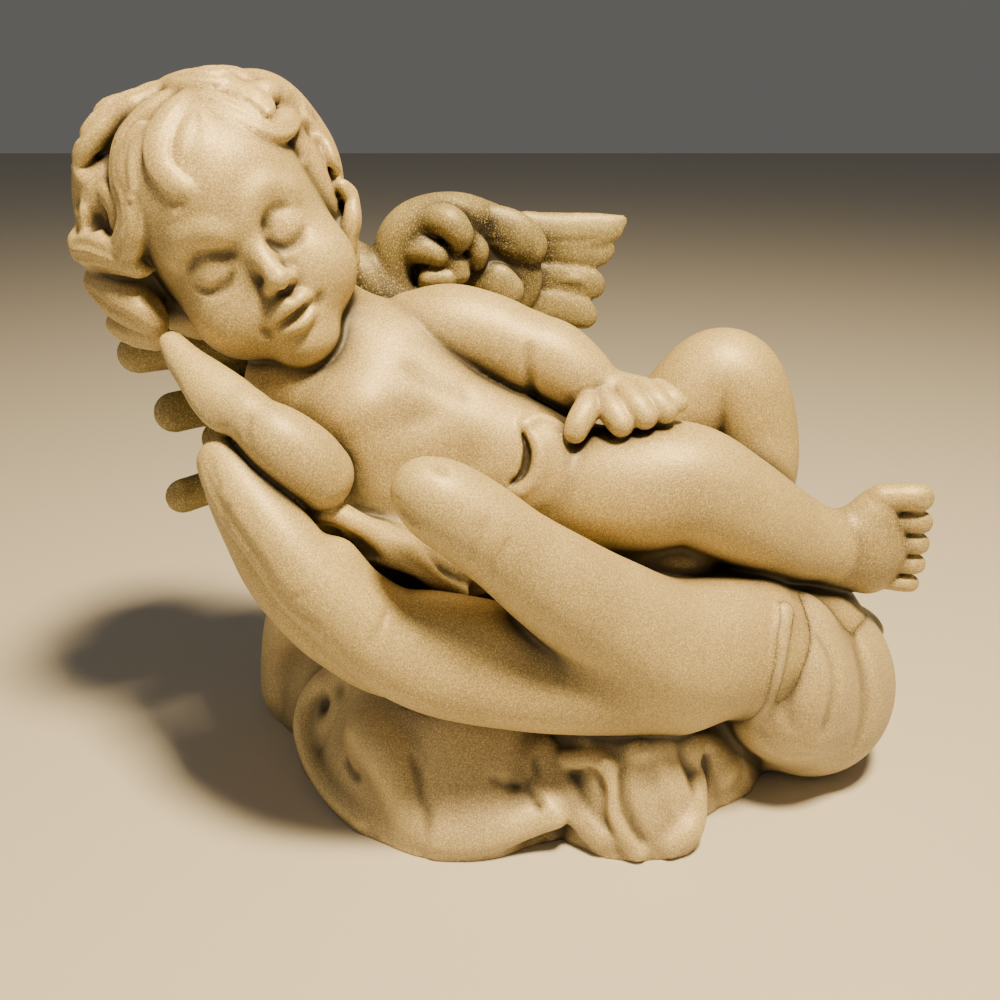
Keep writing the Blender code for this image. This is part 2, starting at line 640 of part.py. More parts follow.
# big soft waves beside the cheek, as rows of (x, y, z, radius) in the head's own frame
HAIR_WAVES = (
    (
        (-33.5, 3.0, -7.2, 3.0),
        (-31.4, -1.0, -9.9, 3.8),
        (-29.2, -4.0, -12.2, 3.6),
        (-27.0, -6.0, -13.7, 2.8),
    ),
    (
        (-31.0, 0.0, 2.6, 3.6),
        (-29.0, -3.0, -0.2, 5.4),
        (-27.0, -6.0, -3.5, 6.0),
        (-25.0, -8.5, -6.8, 5.6),
        (-24.0, -9.5, -10.3, 4.0),
    ),
    (
        (-28.7, -1.0, 10.8, 3.4),
        (-27.8, -3.5, 8.8, 4.4),
        (-25.1, -7.5, 7.1, 4.6),
        (-23.0, -11.0, 4.5, 4.0),
        (-21.6, -13.0, 1.8, 3.0),
        (-20.6, -13.0, -0.8, 2.0),
    ),
)
HAIR_LOCKS = (
    # the side of the head: the outline, the sweep over it, and the strands round the pocket
    (
        (-31, 16, 6.4, 4.4),
        (-56, 22, 8.2, 4.4),
        (-64, 31, 9.0, 4),
        (-70, 39, 9.4, 3.4),
        (-76, 46, 9.4, 2.8),
        (-72, 52, 7.8, 2),
    ),
    (
        (-77, 51, 5.6, 2.4),
        (-79, 58, 7, 2.2),
        (-75, 65, 8.8, 2.2),
        (-78, 71, 9.6, 2.2),
        (-77, 76, 9.4, 2),
    ),
    (
        (52, 19, 3.8, 3.6),
        (9, 12, 5.2, 4),
        (-42, 17, 6.2, 4),
        (-61, 26, 6.4, 3.8),
        (-76, 35, 6.2, 3.6),
        (-78, 45, 5.8, 3.2),
        (-77, 55, 5.4, 2.6),
    ),
    (
        (-74, 53, 4.6, 2.4),
        (-57, 63, 4.8, 2.3),
        (-54, 71, 5, 2.3),
        (-61, 77, 5, 2.2),
        (-80, 78, 5.4, 1.8),
    ),
    (
        (35, 30, 3.6, 3.4),
        (-1, 28, 4, 3.8),
        (-30, 35, 4.2, 4),
        (-39, 46, 4.4, 4),
        (-42, 58, 4.6, 4),
        (-41, 69, 5, 3.8),
        (-44, 78, 5.8, 4),
        (-53, 85, 6.8, 4.2),
        (-66, 87, 7.4, 3.6),
    ),
    (
        (-16, 41, 4.4, 1.8),
        (-31, 47, 4.8, 1.7),
        (-37, 56, 5.2, 1.5),
        (-37, 65, 5.2, 1.2),
        (-36, 70, 5, 0.7),
    ),
    ((-9, 45, 4.2, 1.8), (-24, 51, 4.4, 1.7), (-30, 59, 4.6, 1.4), (-33, 67, 4.6, 0.9)),
    # the forehead: two strands and the hooked curl
    ((20, 49, 4, 2.4), (7, 58, 4.4, 2.2), (-2, 65, 4.2, 1.9), (-7, 73, 3, 0.9)),
    ((27, 46, 3.8, 2.8), (18, 58, 4.4, 2.8), (10, 66, 4.6, 2.5), (2, 71, 4.2, 1.9), (-6, 73, 3, 0.9)),
    (
        (31, 39, 4, 3.4),
        (10, 44, 5, 3.4),
        (-4, 51, 5.8, 3.2),
        (-11, 58, 6.2, 2.9),
        (-14, 65, 6.2, 2.7),
        (-13, 73, 6, 2.5),
        (-10, 79, 5.6, 2.2),
        (-11, 83, 4.8, 1.6),
        (-15, 85, 4.2, 1.1),
        (-21, 84, 3.8, 0.8),
    ),
    # behind the temple on the high side, down to the neck
    (
        (76, 111, 8.6, 2.4),
        (78, 118, 10.4, 2.8),
        (74, 125, 11, 3),
        (73, 132, 10.6, 2.8),
        (72, 139, 10.2, 1.8),
    ),
    ((77, 119, 3.8, 1.6), (76, 126, 5.2, 1.8), (73, 130, 8.2, 2.4), (71, 135, 9.6, 2.2)),
    (
        (76, 74, 7.6, 3),
        (78, 83, 8, 3.2),
        (79, 92, 8.8, 3),
        (76, 99, 9, 2.8),
        (79, 106, 8, 2.6),
        (79, 113, 6.6, 2.4),
        (75, 120, 6, 2.2),
        (74, 129, 5.6, 1.2),
    ),
    ((65, 84, 3.2, 2.2), (68, 89, 3.8, 2.1), (68, 93, 3.2, 1.5), (61, 95, 2.4, 0.8)),
    (
        (66, 81, 3.6, 2.4),
        (76, 82, 4.8, 2.4),
        (78, 86, 6.6, 2.2),
        (79, 92, 7.8, 2.2),
        (77, 97, 7.4, 2.2),
        (78, 103, 5.8, 2.2),
        (75, 109, 3.6, 1.8),
        (75, 115, 3, 1.1),
    ),
    # the top of the head, and the roll over the forehead with the flap on it
    ((52, 19, 5.8, 4), (47, 31, 7, 4.6), (51, 42, 8.4, 5), (63, 48, 8.4, 4.8), (66, 54, 7.4, 4)),
    (
        (29, 38, 3.6, 3),
        (36, 49, 4.8, 4),
        (40, 60, 5.4, 4.2),
        (44, 71, 6, 3.9),
        (51, 76, 6.4, 3.5),
        (64, 76, 6.8, 2.9),
        (76, 72, 7, 2.2),
        (77, 68, 6.8, 1.4),
    ),
    (
        (50, 40, 5.4, 3.6),
        (52, 52, 6.6, 3.8),
        (52, 61, 7.6, 3.6),
        (50, 67, 7.8, 2.6),
        (46, 71, 7.2, 1.2),
    ),
    ((59, 60, 7.4, 2.8), (63, 63, 8.4, 2.7), (76, 64, 8.4, 2.3), (72, 68, 7.8, 1.5)),
)
# tiers of locks round the back: rows of (upper angle from the crown, lower one, locks)
HAIR_BACK_TIERS = ((92, 134, 6), (58, 106, 7), (10, 74, 6))


def over_skull(lock):
    """A lock's rows as (x, y, z, radius) in the figure's own frame."""
    middle, axes = HEAD.at(0, 3, 3), HEAD.axes
    path = []
    for turn, down, crest, radius in lock:
        a, b = np.radians(turn), np.radians(down)
        way = vec(np.sin(b) * np.sin(a), -np.sin(b) * np.cos(a), np.cos(b))
        lift = crest - 0.9 * HAIR_FLAT * radius
        path.append((*(middle + axes @ (way * np.array(SKULL) + way * lift)), radius))
    return path


def outward(point):
    """The way out from the middle of the head."""
    return unit(point - HEAD.at(0, 3, 3))


def add_lock(clay, lock):
    """Adds one lock and combs grooves along it."""
    path = over_skull(lock)
    clay.roll(path, 0.9, flat=HAIR_FLAT, facing=outward, spans=7)
    curve = spline(path, 4)
    ahead = np.gradient(curve[:, :3], axis=0)
    widest = curve[:, 3].max()
    if len(lock) < 7:
        return
    for share in (-0.4, 0.3) if widest > 3.2 else (0.0,):
        groove = []
        for point, way, radius in zip(curve[:, :3], ahead, curve[:, 3]):
            out = outward(point)
            side = unit(np.cross(way, out))
            spot = point + side * share * radius + out * radius * HAIR_FLAT * 0.9
            groove.append((*spot, 0.7))
        clay.stroke(groove[2:-1], 0.4, spans=2, settle=False)


def hair(clay):
    """Loose curls swept from the crown, fuller on the side that hangs down."""
    face, axes = HEAD, HEAD.axes
    clay.mass(face.at(0, 8, 4), (22.5, 21.5, 22.5), axes, 0)
    clay.mass(face.at(-14, 8, -6), (13, 15, 17), axes, 4)
    clay.mass(face.at(8, 10, -9), (15.5, 14, 18), axes, 4)
    for bed in HAIR_BEDS:
        clay.roll(face.path(bed), 4, spans=5)
    for upper, lower, count in HAIR_BACK_TIERS:
        for i in range(count):
            turn = 112 + 146 * (i + 0.5 * (count % 2)) / count
            sway = 10 if (i + count) % 2 else -10
            drop = lower - upper
            lock = [
                (turn - 0.3 * sway, upper, 3, 4.5),
                (turn + 0.7 * sway, upper + 0.3 * drop, 5, 6.2),
                (turn - 0.4 * sway, upper + 0.62 * drop, 6, 6.4),
                (turn - 0.9 * sway, upper + 0.86 * drop, 5.6, 4.6),
                (turn + 0.2 * sway, lower, 4, 2.6),
            ]
            add_lock(clay, lock)
    for wave in HAIR_WAVES:
        clay.roll(face.path(wave), 2.6, spans=7)
    for lock in HAIR_LOCKS:
        add_lock(clay, lock)
    pocket = [(-22.8, -7.5, 13.6, 1.5), (-24.4, -6.5, 11.6, 1.7)]
    clay.stroke(face.path(pocket), 2.2)
    valley = [
        (-10.2, -17, 14.4, 1.6),
        (-13.1, -18, 8.8, 1.8),
        (-16.5, -17, 3.3, 2),
        (-19.2, -15.5, -2.2, 2),
        (-20.6, -13, -7.6, 2),
        (-21, -11, -12.1, 1.8),
    ]
    clay.stroke(face.path(valley), 1.6)
    clay.stroke(
        face.path(
            [
                (-29.9, -5, -6.7, 0.8),
                (-30, -6, -9.9, 0.8),
                (-28.9, -7, -12.7, 0.8),
                (-27.1, -8, -14.2, 0.8),
            ],
        ),
        -0.7,
    )


# ---------------------------------------------------------------- wings

WING_FRONT = (0.0, -1.0, 0.12)
# leading edge of the left wing, curled over at the shoulder
WING_EDGE = (
    (-27.4, 24, 118, 5),
    (-26.6, 24, 125.5, 5.4),
    (-25, 24.5, 131, 6),
    (-21.5, 25, 134.6, 6.2),
    (-16, 26, 136.4, 6.2),
    (-9.6, 28, 136.8, 5.6),
    (-2.5, 31, 135, 4.8),
)
# the curled knobs inside it
WING_KNOBS = (
    (
        (-17.4, 22.5, 136.4, 4),
        (-12.8, 20.5, 136.2, 4.2),
        (-10, 20, 133.4, 3.6),
        (-10.2, 20.6, 131, 2.4),
    ),
    ((-23.2, 22, 128.9, 3.2), (-18.9, 20.5, 129.6, 3.5), (-15.3, 20, 128.4, 3)),
    ((-7.4, 23.5, 131.4, 2.8), (-5.7, 23.5, 129.1, 3), (-5.9, 24, 126.4, 2.6)),
    ((-13.1, 22, 126.4, 2.8), (-10.8, 21.5, 126.1, 2.8), (-10, 21.5, 123.6, 2.6)),
    ((-17.6, 20.5, 122.6, 2.8), (-13.1, 20, 122.6, 2.4)),
)
# rows of (x, y, z, half width) along its long feathers, from the lowest
WING_LONG_FEATHERS = (
    ((5.3, 32, 113.6, 3), (13.2, 33, 112.8, 3.8), (19.6, 33.5, 111.2, 4), (22, 33.5, 109.8, 3.2)),
    ((8.8, 34, 119.2, 3.4), (15.8, 34.5, 118.8, 3.6), (22.6, 35, 117.6, 3.4)),
    ((10.4, 34.6, 128, 3.4), (19.1, 35.6, 127, 3.6), (25.2, 36.4, 125.8, 3.2), (28.2, 37, 127.4, 2.2)),
    ((6.9, 35, 131.3, 6), (15.6, 36, 131, 5.4), (24.4, 37, 131.6, 4.6), (29, 37.6, 132.6, 3.4)),
    ((12.1, 36.5, 134.3, 2.6), (24.3, 37.6, 134.2, 2.4), (31.6, 38.2, 134.2, 1.8)),
)
# and of the broad ones that lie on their roots
WING_COVERTS = (
    ((-4.4, 25.5, 121.4, 3.8), (-0.8, 25, 121, 4.6), (1.8, 25, 118.8, 4.4)),
    ((-4.4, 29, 130.2, 5), (1.7, 29.6, 128.8, 5.4), (7.4, 30.6, 127, 4.2)),
    ((-7.5, 28, 134.4, 4.4), (-1.7, 28, 134, 5.6), (3.8, 28, 131.8, 6), (7.4, 28.5, 129.4, 4.8)),
)
# the right wing hangs behind the head
WING_RIGHT_ARM = (
    (-30, 22, 110, 7),
    (-35, 23, 123, 7),
    (-46, 27, 125, 7),
    (-59, 24, 119, 6.6),
    (-68, 18, 112, 5.4),
)
WING_RIGHT_FRONT = (0.35, -1.0, 0.1)
WING_RIGHT_FEATHERS = (
    ((-58, 18, 108), (-87.5, 6, 107), 4.8),
    ((-54, 21, 103), (-76, 12, 101), 4.8),
    ((-56, 16, 95), (-79, 2, 93.5), 5.0),
    ((-50, 18, 88), (-70, 7, 85), 4.8),
    ((-52, 12, 78), (-77.5, -4, 74), 4.3),
    ((-44, 15, 74), (-62, 6, 69), 4.4),
)


def wings(clay):
    """Half-open wings: the left one shows above the arm, the right one behind the fingers."""
    clay.mass((-8, 31, 121), (19, 5.4, 15), blend=0)
    clay.roll(WING_EDGE, 2)
    for knob in WING_KNOBS:
        clay.roll(knob, 0.7)
    for feather in WING_LONG_FEATHERS:
        clay.roll(feather, 0.5, flat=0.42, facing=WING_FRONT)
    for feather in WING_COVERTS:
        clay.roll(feather, 0.6, flat=0.42, facing=WING_FRONT)
    for vein in (
        [(-5.8, 24.6, 132.6, 0.6), (0, 24, 131, 0.6), (6.6, 24.4, 129.9, 0.6)],
        [(9.6, 31, 130.8, 0.6), (19, 32, 130, 0.6), (28, 33, 130.6, 0.6)],
        [(11, 32, 118.8, 0.6), (17, 32, 118.6, 0.6), (22, 32, 117.2, 0.6)],
    ):
        clay.stroke(vein, 0.4)
    clay.stroke([(17.6, 32, 120.2, 0.8), (20.6, 31.6, 120.4, 0.9), (23, 32, 119, 0.8)], -0.6)
    clay.roll(WING_RIGHT_ARM, 2)
    clay.mass((-50, 23, 106), (18, 5, 17), blend=3)
    clay.mass((-46, 18, 88), (14, 5, 14), blend=3)
    for root, tip, wide in WING_RIGHT_FEATHERS:
        clay.roll([(*root, wide), (*tip, wide)], 0.8, flat=0.5, facing=WING_RIGHT_FRONT)
    for column in range(3):
        for row in range(4):
            x, z = -16 + 8.5 * column, 131 - 7.5 * row - 1.5 * column
            clay.roll([(x, 35, z, 4.4), (x + 9, 38.5, z - 2, 4.2)], 0.6, flat=0.4, facing=WING_FRONT)
            x, z = -40 - 8 * column, 121 - 9 * row - 3 * column
            y = 28.5 - 3.5 * column - 1.5 * row
            clay.roll(
                [(x, y, z, 5), (x - 9, y - 1.5, z - 4, 4.6)],
                0.6,
                flat=0.4,
                facing=WING_RIGHT_FRONT,
            )
    # between the shoulder blades, and the tip of a feather behind the raised knee
    clay.mass((-28, 22, 104), (14, 8, 18), blend=4)
    clay.roll([(12, 26, 96, 5), (34, 24, 95, 4)], 1, flat=0.6, facing=WING_FRONT)


# ---------------------------------------------------------------- cloth

# round the edge of the cloth, from the left: rows of (x, y, height)
CLOTH_HEM = (
    (-53.5, -2.5, 13),
    (-54, -8, 9),
    (-52, -14, 5),
    (-48.5, -19.5, 3),
    (-42, -30, 2.5),
    (-35, -37.3, 2.5),
    (-27.5, -42.2, 2.5),
    (-20, -46.2, 2.5),
    (-15, -47.6, 2.5),
    (-5.6, -47.6, 3),
    (0, -46.6, 3),
    (6, -43.5, 3),
    (10, -42, 3),
    (14.9, -40.6, 2.5),
    (20.4, -44, 2.5),
    (25, -47, 2.5),
    (31.3, -47.8, 2.5),
    (38, -47.2, 2.5),
    (44, -45.8, 3),
    (47.5, -42.5, 4),
    (48, -38, 5),
    (50, -33, 4),
    (55, -29, 3),
    (64, -23, 4),
    (70, -10, 5),
    (70, 12, 5),
    (60, 28, 4),
    (38, 40, 4),
    (10, 43, 4),
    (-20, 41, 4),
    (-44, 36, 5),
    (-58, 29, 6),
    (-66, 21, 6),
    (-64, 11, 8),
    (-58, 3, 12),
)


def cloth_height(x, y):
    """How high the cloth stands over a place, and how far that place is past its edge."""
    hem = np.array(CLOTH_HEM, float)
    off = hem[:, :2] - np.array(CLOTH_MIDDLE)
    turns = np.degrees(np.arctan2(off[:, 1], off[:, 0]))
    outs = np.hypot(off[:, 0], off[:, 1])
    turn = np.degrees(np.arctan2(y - CLOTH_MIDDLE[1], x - CLOTH_MIDDLE[0]))
    out = np.hypot(x - CLOTH_MIDDLE[0], y - CLOTH_MIDDLE[1])
    order = np.argsort(turns)
    edge = np.interp(turn, turns[order], outs[order], period=360)
    lift = np.interp(turn, turns[order], hem[order, 2], period=360)
    inward = np.clip((edge - out) / CLOTH_RISE, 0.0, 1.0)
    return lift + (CLOTH_TOP - lift) * inward * (1.5 - 0.5 * inward), out - edge


def drapery(clay):
    """The cloth under the hand, spread over the ground as a low foot, and the sleeve."""
    cut, (x, y, z) = clay.window(BLOCK_LOW, (BLOCK_HIGH[0], BLOCK_HIGH[1], 60))
    top, beyond = cloth_height(x, y)
    clay.join(cut, -soft_min(-0.6 * (z - top), -0.9 * beyond, 5.0), 0)
    # the rim that curls up on the left, and the hollow inside it
    rim = [
        (-36, -4, 24.5, 2.6),
        (-41, -4, 24, 2.6),
        (-46.5, -4.6, 21.6, 2.6),
        (-50.6, -5, 16.5, 2.6),
        (-51.8, -9.5, 11.5, 2.6),
        (-49.6, -15.5, 7.6, 2.6),
        (-45.5, -22.5, 5, 2.6),
        (-40, -30, 3.6, 2.4),
        (-33, -36.5, 2.8, 2.2),
    ]
    clay.roll([(-50, -3, 9, 4), (-46, -2, 16, 4), (-38, -1, 20, 4)], 4)
    clay.roll(rim, 2.5)
    clay.carve(
        [
            (-47.4, -9.4, 15.4, 1.4),
            (-44.6, -9.6, 17.6, 2.8),
            (-41, -9.6, 20.6, 3.4),
            (-36, -9.4, 24.4, 3.4),
        ],
        1.5,
    )
    # the convex side of the left lobe
    side = [(-30, -24.4, 18.8, 7), (-25, -30.2, 17, 7), (-22.2, -36.3, 12.6, 6), (-20.3, -42.2, 7.4, 5)]
    clay.roll(clay.settle(side, -3.8), 4)
    # the edge of the middle lobe, up to its corner
    clay.roll(
        [
            (-12, -42, 5.4, 4),
            (-3, -41.4, 6.4, 4.2),
            (4, -40.6, 8, 4),
            (9, -40.6, 9.4, 3.4),
            (12.4, -42, 9.6, 2.4),
        ],
        5,
    )
    clay.roll(
        [
            (-14, -44.6, 4, 3),
            (-5, -45, 4.4, 3),
            (4, -43.8, 6.4, 2.8),
            (10, -43.4, 8.4, 2.6),
            (13.4, -43.8, 9.4, 2),
        ],
        3,
    )
    clay.roll([(6, -33, 17.6, 4), (8.6, -37, 14, 3.6), (11.4, -41, 11, 2.6)], 3)
    # the sheet between two folds, the crisp fold beside it, and the rim of the right lobe
    sheet = [
        (13.4, -29.7, 17.6, 5.5),
        (14.9, -34.1, 12.9, 5.5),
        (18, -38.8, 8.6, 5),
        (22.6, -44, 4.9, 4.2),
    ]
    clay.roll(clay.settle(sheet, -3.4), 2.5)
    fold = [
        (19.7, -33.6, 20, 2.4),
        (23.8, -35.2, 19.5, 2.6),
        (26, -38, 15.9, 2.4),
        (26.4, -41.6, 10.9, 2.4),
        (28.9, -44.7, 6.5, 2.6),
        (31.9, -46.6, 2.5, 2.6),
    ]
    clay.roll(clay.settle(fold, -0.6), 1.5)
    lobe = [
        (31.9, -33.9, 21.4, 3),
        (38.3, -30, 19, 3.4),
        (44.4, -29.5, 12.7, 3.6),
        (45.4, -34, 8.7, 3.6),
        (43.7, -41.7, 5.6, 3.6),
        (39.7, -44.3, 3.3, 3),
    ]
    clay.roll(clay.settle(lobe, -0.8), 2.5)
    clay.roll(clay.settle([(45, -30, 20, 4), (52, -27, 17, 4), (56, -26, 9, 4)], -2.4), 3)
    for i in range(BACK_FOLDS):
        turn = np.radians(12 + 150 * (i + 0.5) / BACK_FOLDS)
        ridge = []
        for out, height, radius in ((24, 38, 5), (33, 26, 6), (40, 14, 6), (44, 5, 5)):
            lean = turn + np.radians(5) * (-1) ** i * (out - 24) / 20
            across = CLOTH_MIDDLE[0] + 1.35 * out * np.cos(lean)
            ridge.append((across, CLOTH_MIDDLE[1] + out * np.sin(lean), height, radius))
        clay.roll(clay.settle(ridge, -2.6), 3)
    # creases between them, as rows of (x, y, z, width)
    for crease, depth in (
        (
            [
                (-19, -31.4, 18.8, 1.4),
                (-16.9, -36.5, 14.8, 1.4),
                (-16.7, -41.8, 9, 1.4),
                (-15.9, -47, 3.5, 1.4),
            ],
            1.1,
        ),
        (
            [
                (4.6, -31, 18.5, 1.3),
                (5.8, -34.7, 13.3, 1.3),
                (9.9, -37.8, 8.6, 1.3),
                (14.4, -40.4, 6.4, 1.3),
                (18.5, -43.4, 4, 1.3),
            ],
            1.8,
        ),
        (
            [
                (21.2, -36, 17.3, 1.3),
                (23.1, -38.9, 13.6, 1.3),
                (24.3, -42.2, 9.4, 1.3),
                (25.7, -45.3, 5, 1.3),
            ],
            1.4,
        ),
        (
            [
                (28.9, -35.8, 19.2, 1.6),
                (29.6, -40, 13.5, 1.6),
                (31.3, -43.9, 7.8, 1.6),
                (33.5, -46.8, 3.3, 1.6),
            ],
            1.8,
        ),
        ([(46, -28, 19, 1.7), (49, -29.5, 12, 1.7), (50.4, -32.5, 5.5, 1.7)], 2.4),
        (
            [
                (-35.8, -25, 12.6, 1.1),
                (-35.2, -27.4, 11.4, 1.1),
                (-33.6, -29.6, 10.8, 1.1),
                (-31.6, -30.8, 10.8, 1.1),
            ],
            1.5,
        ),
        ([(-3.6, -36.6, 16.1, 1.2), (-0.3, -37.2, 15.1, 1.2), (2.8, -36.8, 13.5, 1.2)], 0.9),
    ):
        clay.stroke(crease, depth)
    clay.dent((35.4, -38, 16), 4.6, 2)
    clay.dent((38.6, -41, 11), 3.4, 1.2)
    # the bunched sleeve, its cuff round the wrist, and its folds
    clay.mass((80, -4, 22), (22.5, 25, 25), blend=6)
    clay.mass((72, -8, 28), (11, 22, 22), blend=5)
    for fold in (
        [(63, -12, 48, 1.6), (64, -22, 36, 1.6), (62, -27, 20, 1.6), (63, -24, 5, 1.6)],
        [(74, -12, 47, 2), (74, -26, 34, 2), (73, -29, 18, 2), (73, -27, 5, 2)],
        [(85, -14, 44, 2.4), (87, -24, 30, 2.4), (88, -24, 12, 2.4)],
        [(94, -6, 40, 2.4), (98, -14, 26, 2.4), (97, -16, 10, 2.4)],
    ):
        clay.stroke(fold, 1.8)
    # the lip of cloth under the foot
    lip = [(60, -4, 48, 9), (74, -3, 43.5, 10), (88, 1, 39, 9), (97, 4, 35, 6)]
    clay.roll(lip, 1.5, flat=0.4, facing=(0.3, -0.2, 1))
    # behind, the cloth climbs to the fingers
    clay.roll([(-61, 19, 6, 8), (-59, 17, 20, 8.5), (-54, 13, 33, 9.5), (-45, 8, 48, 10)], 6)


# ---------------------------------------------------------------- the whole

# parts in the order they are joined, with the blend of each joint
PARTS = (
    (drapery, 0.0),
    (great_hand, 1.5),
    (trunk, 1.0),
    (legs, 2.5),
    (foot, 2.0),
    (wings, 1.5),
    (left_arm, 0.8),
    (right_arm, 1.0),
    (head, 1.5),
    (hair, 0.8),
)


def model(voxel):
    """The finished clay, every part joined."""
    clay = Clay(voxel)
    for form, blend in PARTS:
        part = Clay(voxel)
        form(part)
        clay.take(part, blend)
    return clay


def sculpted(voxel, triangles):
    """The clay's surface as a mesh in metres, thinned to a number of triangles."""
    points, quads = model(voxel).surface()
    mesh = bpy.data.meshes.new("clay")
    mesh.from_pydata((points * MM).tolist(), [], quads.tolist())
    rough = bpy.data.objects.new("clay", mesh)
    bpy.context.scene.collection.objects.link(rough)
    thin = rough.modifiers.new("thin", "DECIMATE")
    thin.ratio = triangles / (2.0 * len(quads))
    thin.use_collapse_triangulate = True
    depsgraph = bpy.context.evaluated_depsgraph_get()
    thinned = bpy.data.meshes.new_from_object(rough.evaluated_get(depsgraph))
    bpy.data.objects.remove(rough)
    return thinned


def largest_body(bm):
    """Deletes every loose body except the largest."""
    left = set(bm.verts)
    bodies = []
    while left:
        body, edge = set(), [left.pop()]
        while edge:
            vert = edge.pop()
            body.add(vert)
            near = {e.other_vert(vert) for e in vert.link_edges} & left
            left -= near
            edge.extend(near)
        bodies.append(body)
    bodies.sort(key=len)
    small = [vert for body in bodies[:-1] for vert in body]
    bmesh.ops.delete(bm, geom=small, context="VERTS")


def cut_flat(bm):
    """Cuts the figure flat at the ground and closes it with its underside."""
    geometry = bm.verts[:] + bm.edges[:] + bm.faces[:]
    bmesh.ops.bisect_plane(bm, geom=geometry, plane_co=(0, 0, 0), plane_no=(0, 0, 1), clear_inner=True)
    rim = [edge for edge in bm.edges if edge.is_boundary]
    bmesh.ops.holes_fill(bm, edges=rim, sides=0)
    bmesh.ops.triangulate(bm, faces=bm.faces[:])
    bmesh.ops.recalc_face_normals(bm, faces=bm.faces[:])


def stand_on_middle(bm):
    """Moves the middle of the bounding box's underside to the origin."""
    low = [min(vert.co[i] for vert in bm.verts) for i in range(3)]
    high = [max(vert.co[i] for vert in bm.verts) for i in range(3)]
    offset = Vector((-(low[0] + high[0]) / 2, -(low[1] + high[1]) / 2, -low[2]))
    bmesh.ops.translate(bm, verts=bm.verts[:], vec=offset)


def resin():
    """Warm beige cast resin with a satin face."""
    material = bpy.data.materials.new("cast resin, warm beige")
    material.use_nodes = True
    shader = material.node_tree.nodes["Principled BSDF"]
    shader.inputs["Base Color"].default_value = (0.52, 0.42, 0.27, 1.0)
    shader.inputs["Roughness"].default_value = 0.5
    shader.inputs["Metallic"].default_value = 0.0
    return material


def main():
    for obj in list(bpy.data.objects):
        bpy.data.objects.remove(obj)
    mesh = sculpted(VOXEL, TRIANGLES)
    bm = bmesh.new()
    bm.from_mesh(mesh)
    largest_body(bm)
    cut_flat(bm)
    stand_on_middle(bm)
    bm.to_mesh(mesh)
    bm.free()
    mesh.name = "cherub_figurine"
    mesh.shade_smooth()
    mesh.materials.append(resin())
    figurine = bpy.data.objects.new("cherub_figurine", mesh)
    parts = bpy.data.collections.new("cherub figurine")
    bpy.context.scene.collection.children.link(parts)
    parts.objects.link(figurine)


if __name__ == "__main__":
    main()
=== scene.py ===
"""How the cherub asleep in an open hand looks: one cast resin figurine.

The real one is cast from a figure worked in clay. Its limbs, locks, feathers and folds run
into one another in soft fillets all over, which spins, extrusions and bevels can't give. So it
is worked like clay here too, on a grid of distances to the surface, at a finer grain than the
solid that it stands for. OpenVDB turns the grid into a surface, bmesh operators cut it flat
below and move it into the frame, and the same grid gives the cast its colour washes, which
darken the hollows with the brown wash and with painted shade.

Millimetres while modelling, metres in the mesh. +Z is up and the front faces -Y.
"""

import logging
from collections.abc import Callable, Sequence
from dataclasses import dataclass, field
from enum import Enum
from math import radians
from typing import ClassVar, Protocol

import bmesh
import bpy
import numpy as np
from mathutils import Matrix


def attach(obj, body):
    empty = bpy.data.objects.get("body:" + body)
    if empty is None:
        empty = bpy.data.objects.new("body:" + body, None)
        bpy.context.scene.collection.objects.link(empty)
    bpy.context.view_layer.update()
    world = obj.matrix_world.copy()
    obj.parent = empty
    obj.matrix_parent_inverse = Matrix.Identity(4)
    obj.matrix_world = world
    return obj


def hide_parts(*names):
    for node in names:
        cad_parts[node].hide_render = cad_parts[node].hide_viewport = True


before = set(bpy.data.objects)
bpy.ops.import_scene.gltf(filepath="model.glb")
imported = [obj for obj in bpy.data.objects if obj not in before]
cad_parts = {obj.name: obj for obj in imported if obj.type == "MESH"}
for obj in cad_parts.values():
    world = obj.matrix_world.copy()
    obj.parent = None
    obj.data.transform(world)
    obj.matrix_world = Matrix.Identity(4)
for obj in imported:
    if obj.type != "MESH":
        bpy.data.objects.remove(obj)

import openvdb
from mathutils import Vector

LOG = logging.getLogger("cherub")
MM = 0.001
Row = Sequence[float]
Rows = Sequence[Row]
Facing = Callable[[np.ndarray], np.ndarray]
Cut = tuple[slice, ...]  # a part of the grid


# ---------------------------------------------------------------- clay


class Tint(Enum):
    """How warm the cast is coloured on a part: 0 on the cloth, 1 on the skin."""

    CLOTH = 0.0
    WING = 0.32
    FOOT = 0.45
    HAIR = 0.85
    SKIN = 1.0


def vec(*values: float) -> np.ndarray:
    """A point or a direction."""
    return np.array(values, float)


def unit(v: Row) -> np.ndarray:
    """The direction of v."""
    v = np.asarray(v, float)
    return v / max(float(np.linalg.norm(v)), 1e-9)


def soft_min(a: np.ndarray, b: np.ndarray, blend: float) -> np.ndarray:
    """The nearer of two surfaces, filleted where they are within blend of each other.

    Args:
        a: distances to the one.
        b: distances to the other.
        blend: how far apart they may be to be filleted.

    Returns:
        Distances to the two as one.
    """
    if blend <= 0:
        return np.minimum(a, b)
    near = np.maximum(blend - np.abs(a - b), 0.0) / blend
    return np.minimum(a, b) - near * near * (blend * 0.25)


def spline(points: Rows, spans: int) -> np.ndarray:
    """A Catmull-Rom curve through rows of numbers.

    Args:
        points: the rows.
        spans: steps between two rows.

    Returns:
        The rows of the finer curve.
    """
    p = np.asarray(points, float)
    p = np.vstack([2 * p[0] - p[1], p, 2 * p[-1] - p[-2]])
    out = []
    for i in range(1, len(p) - 2):
        a, b, c, d = p[i - 1 : i + 3]
        for t in np.arange(spans) / spans:
            linear = (c - a) * t
            square = (2 * a - 5 * b + 4 * c - d) * t**2
            cube = (3 * b - a - 3 * c + d) * t**3
            out.append(0.5 * (2 * b + linear + square + cube))
    out.append(p[-2])
    return np.array(out)


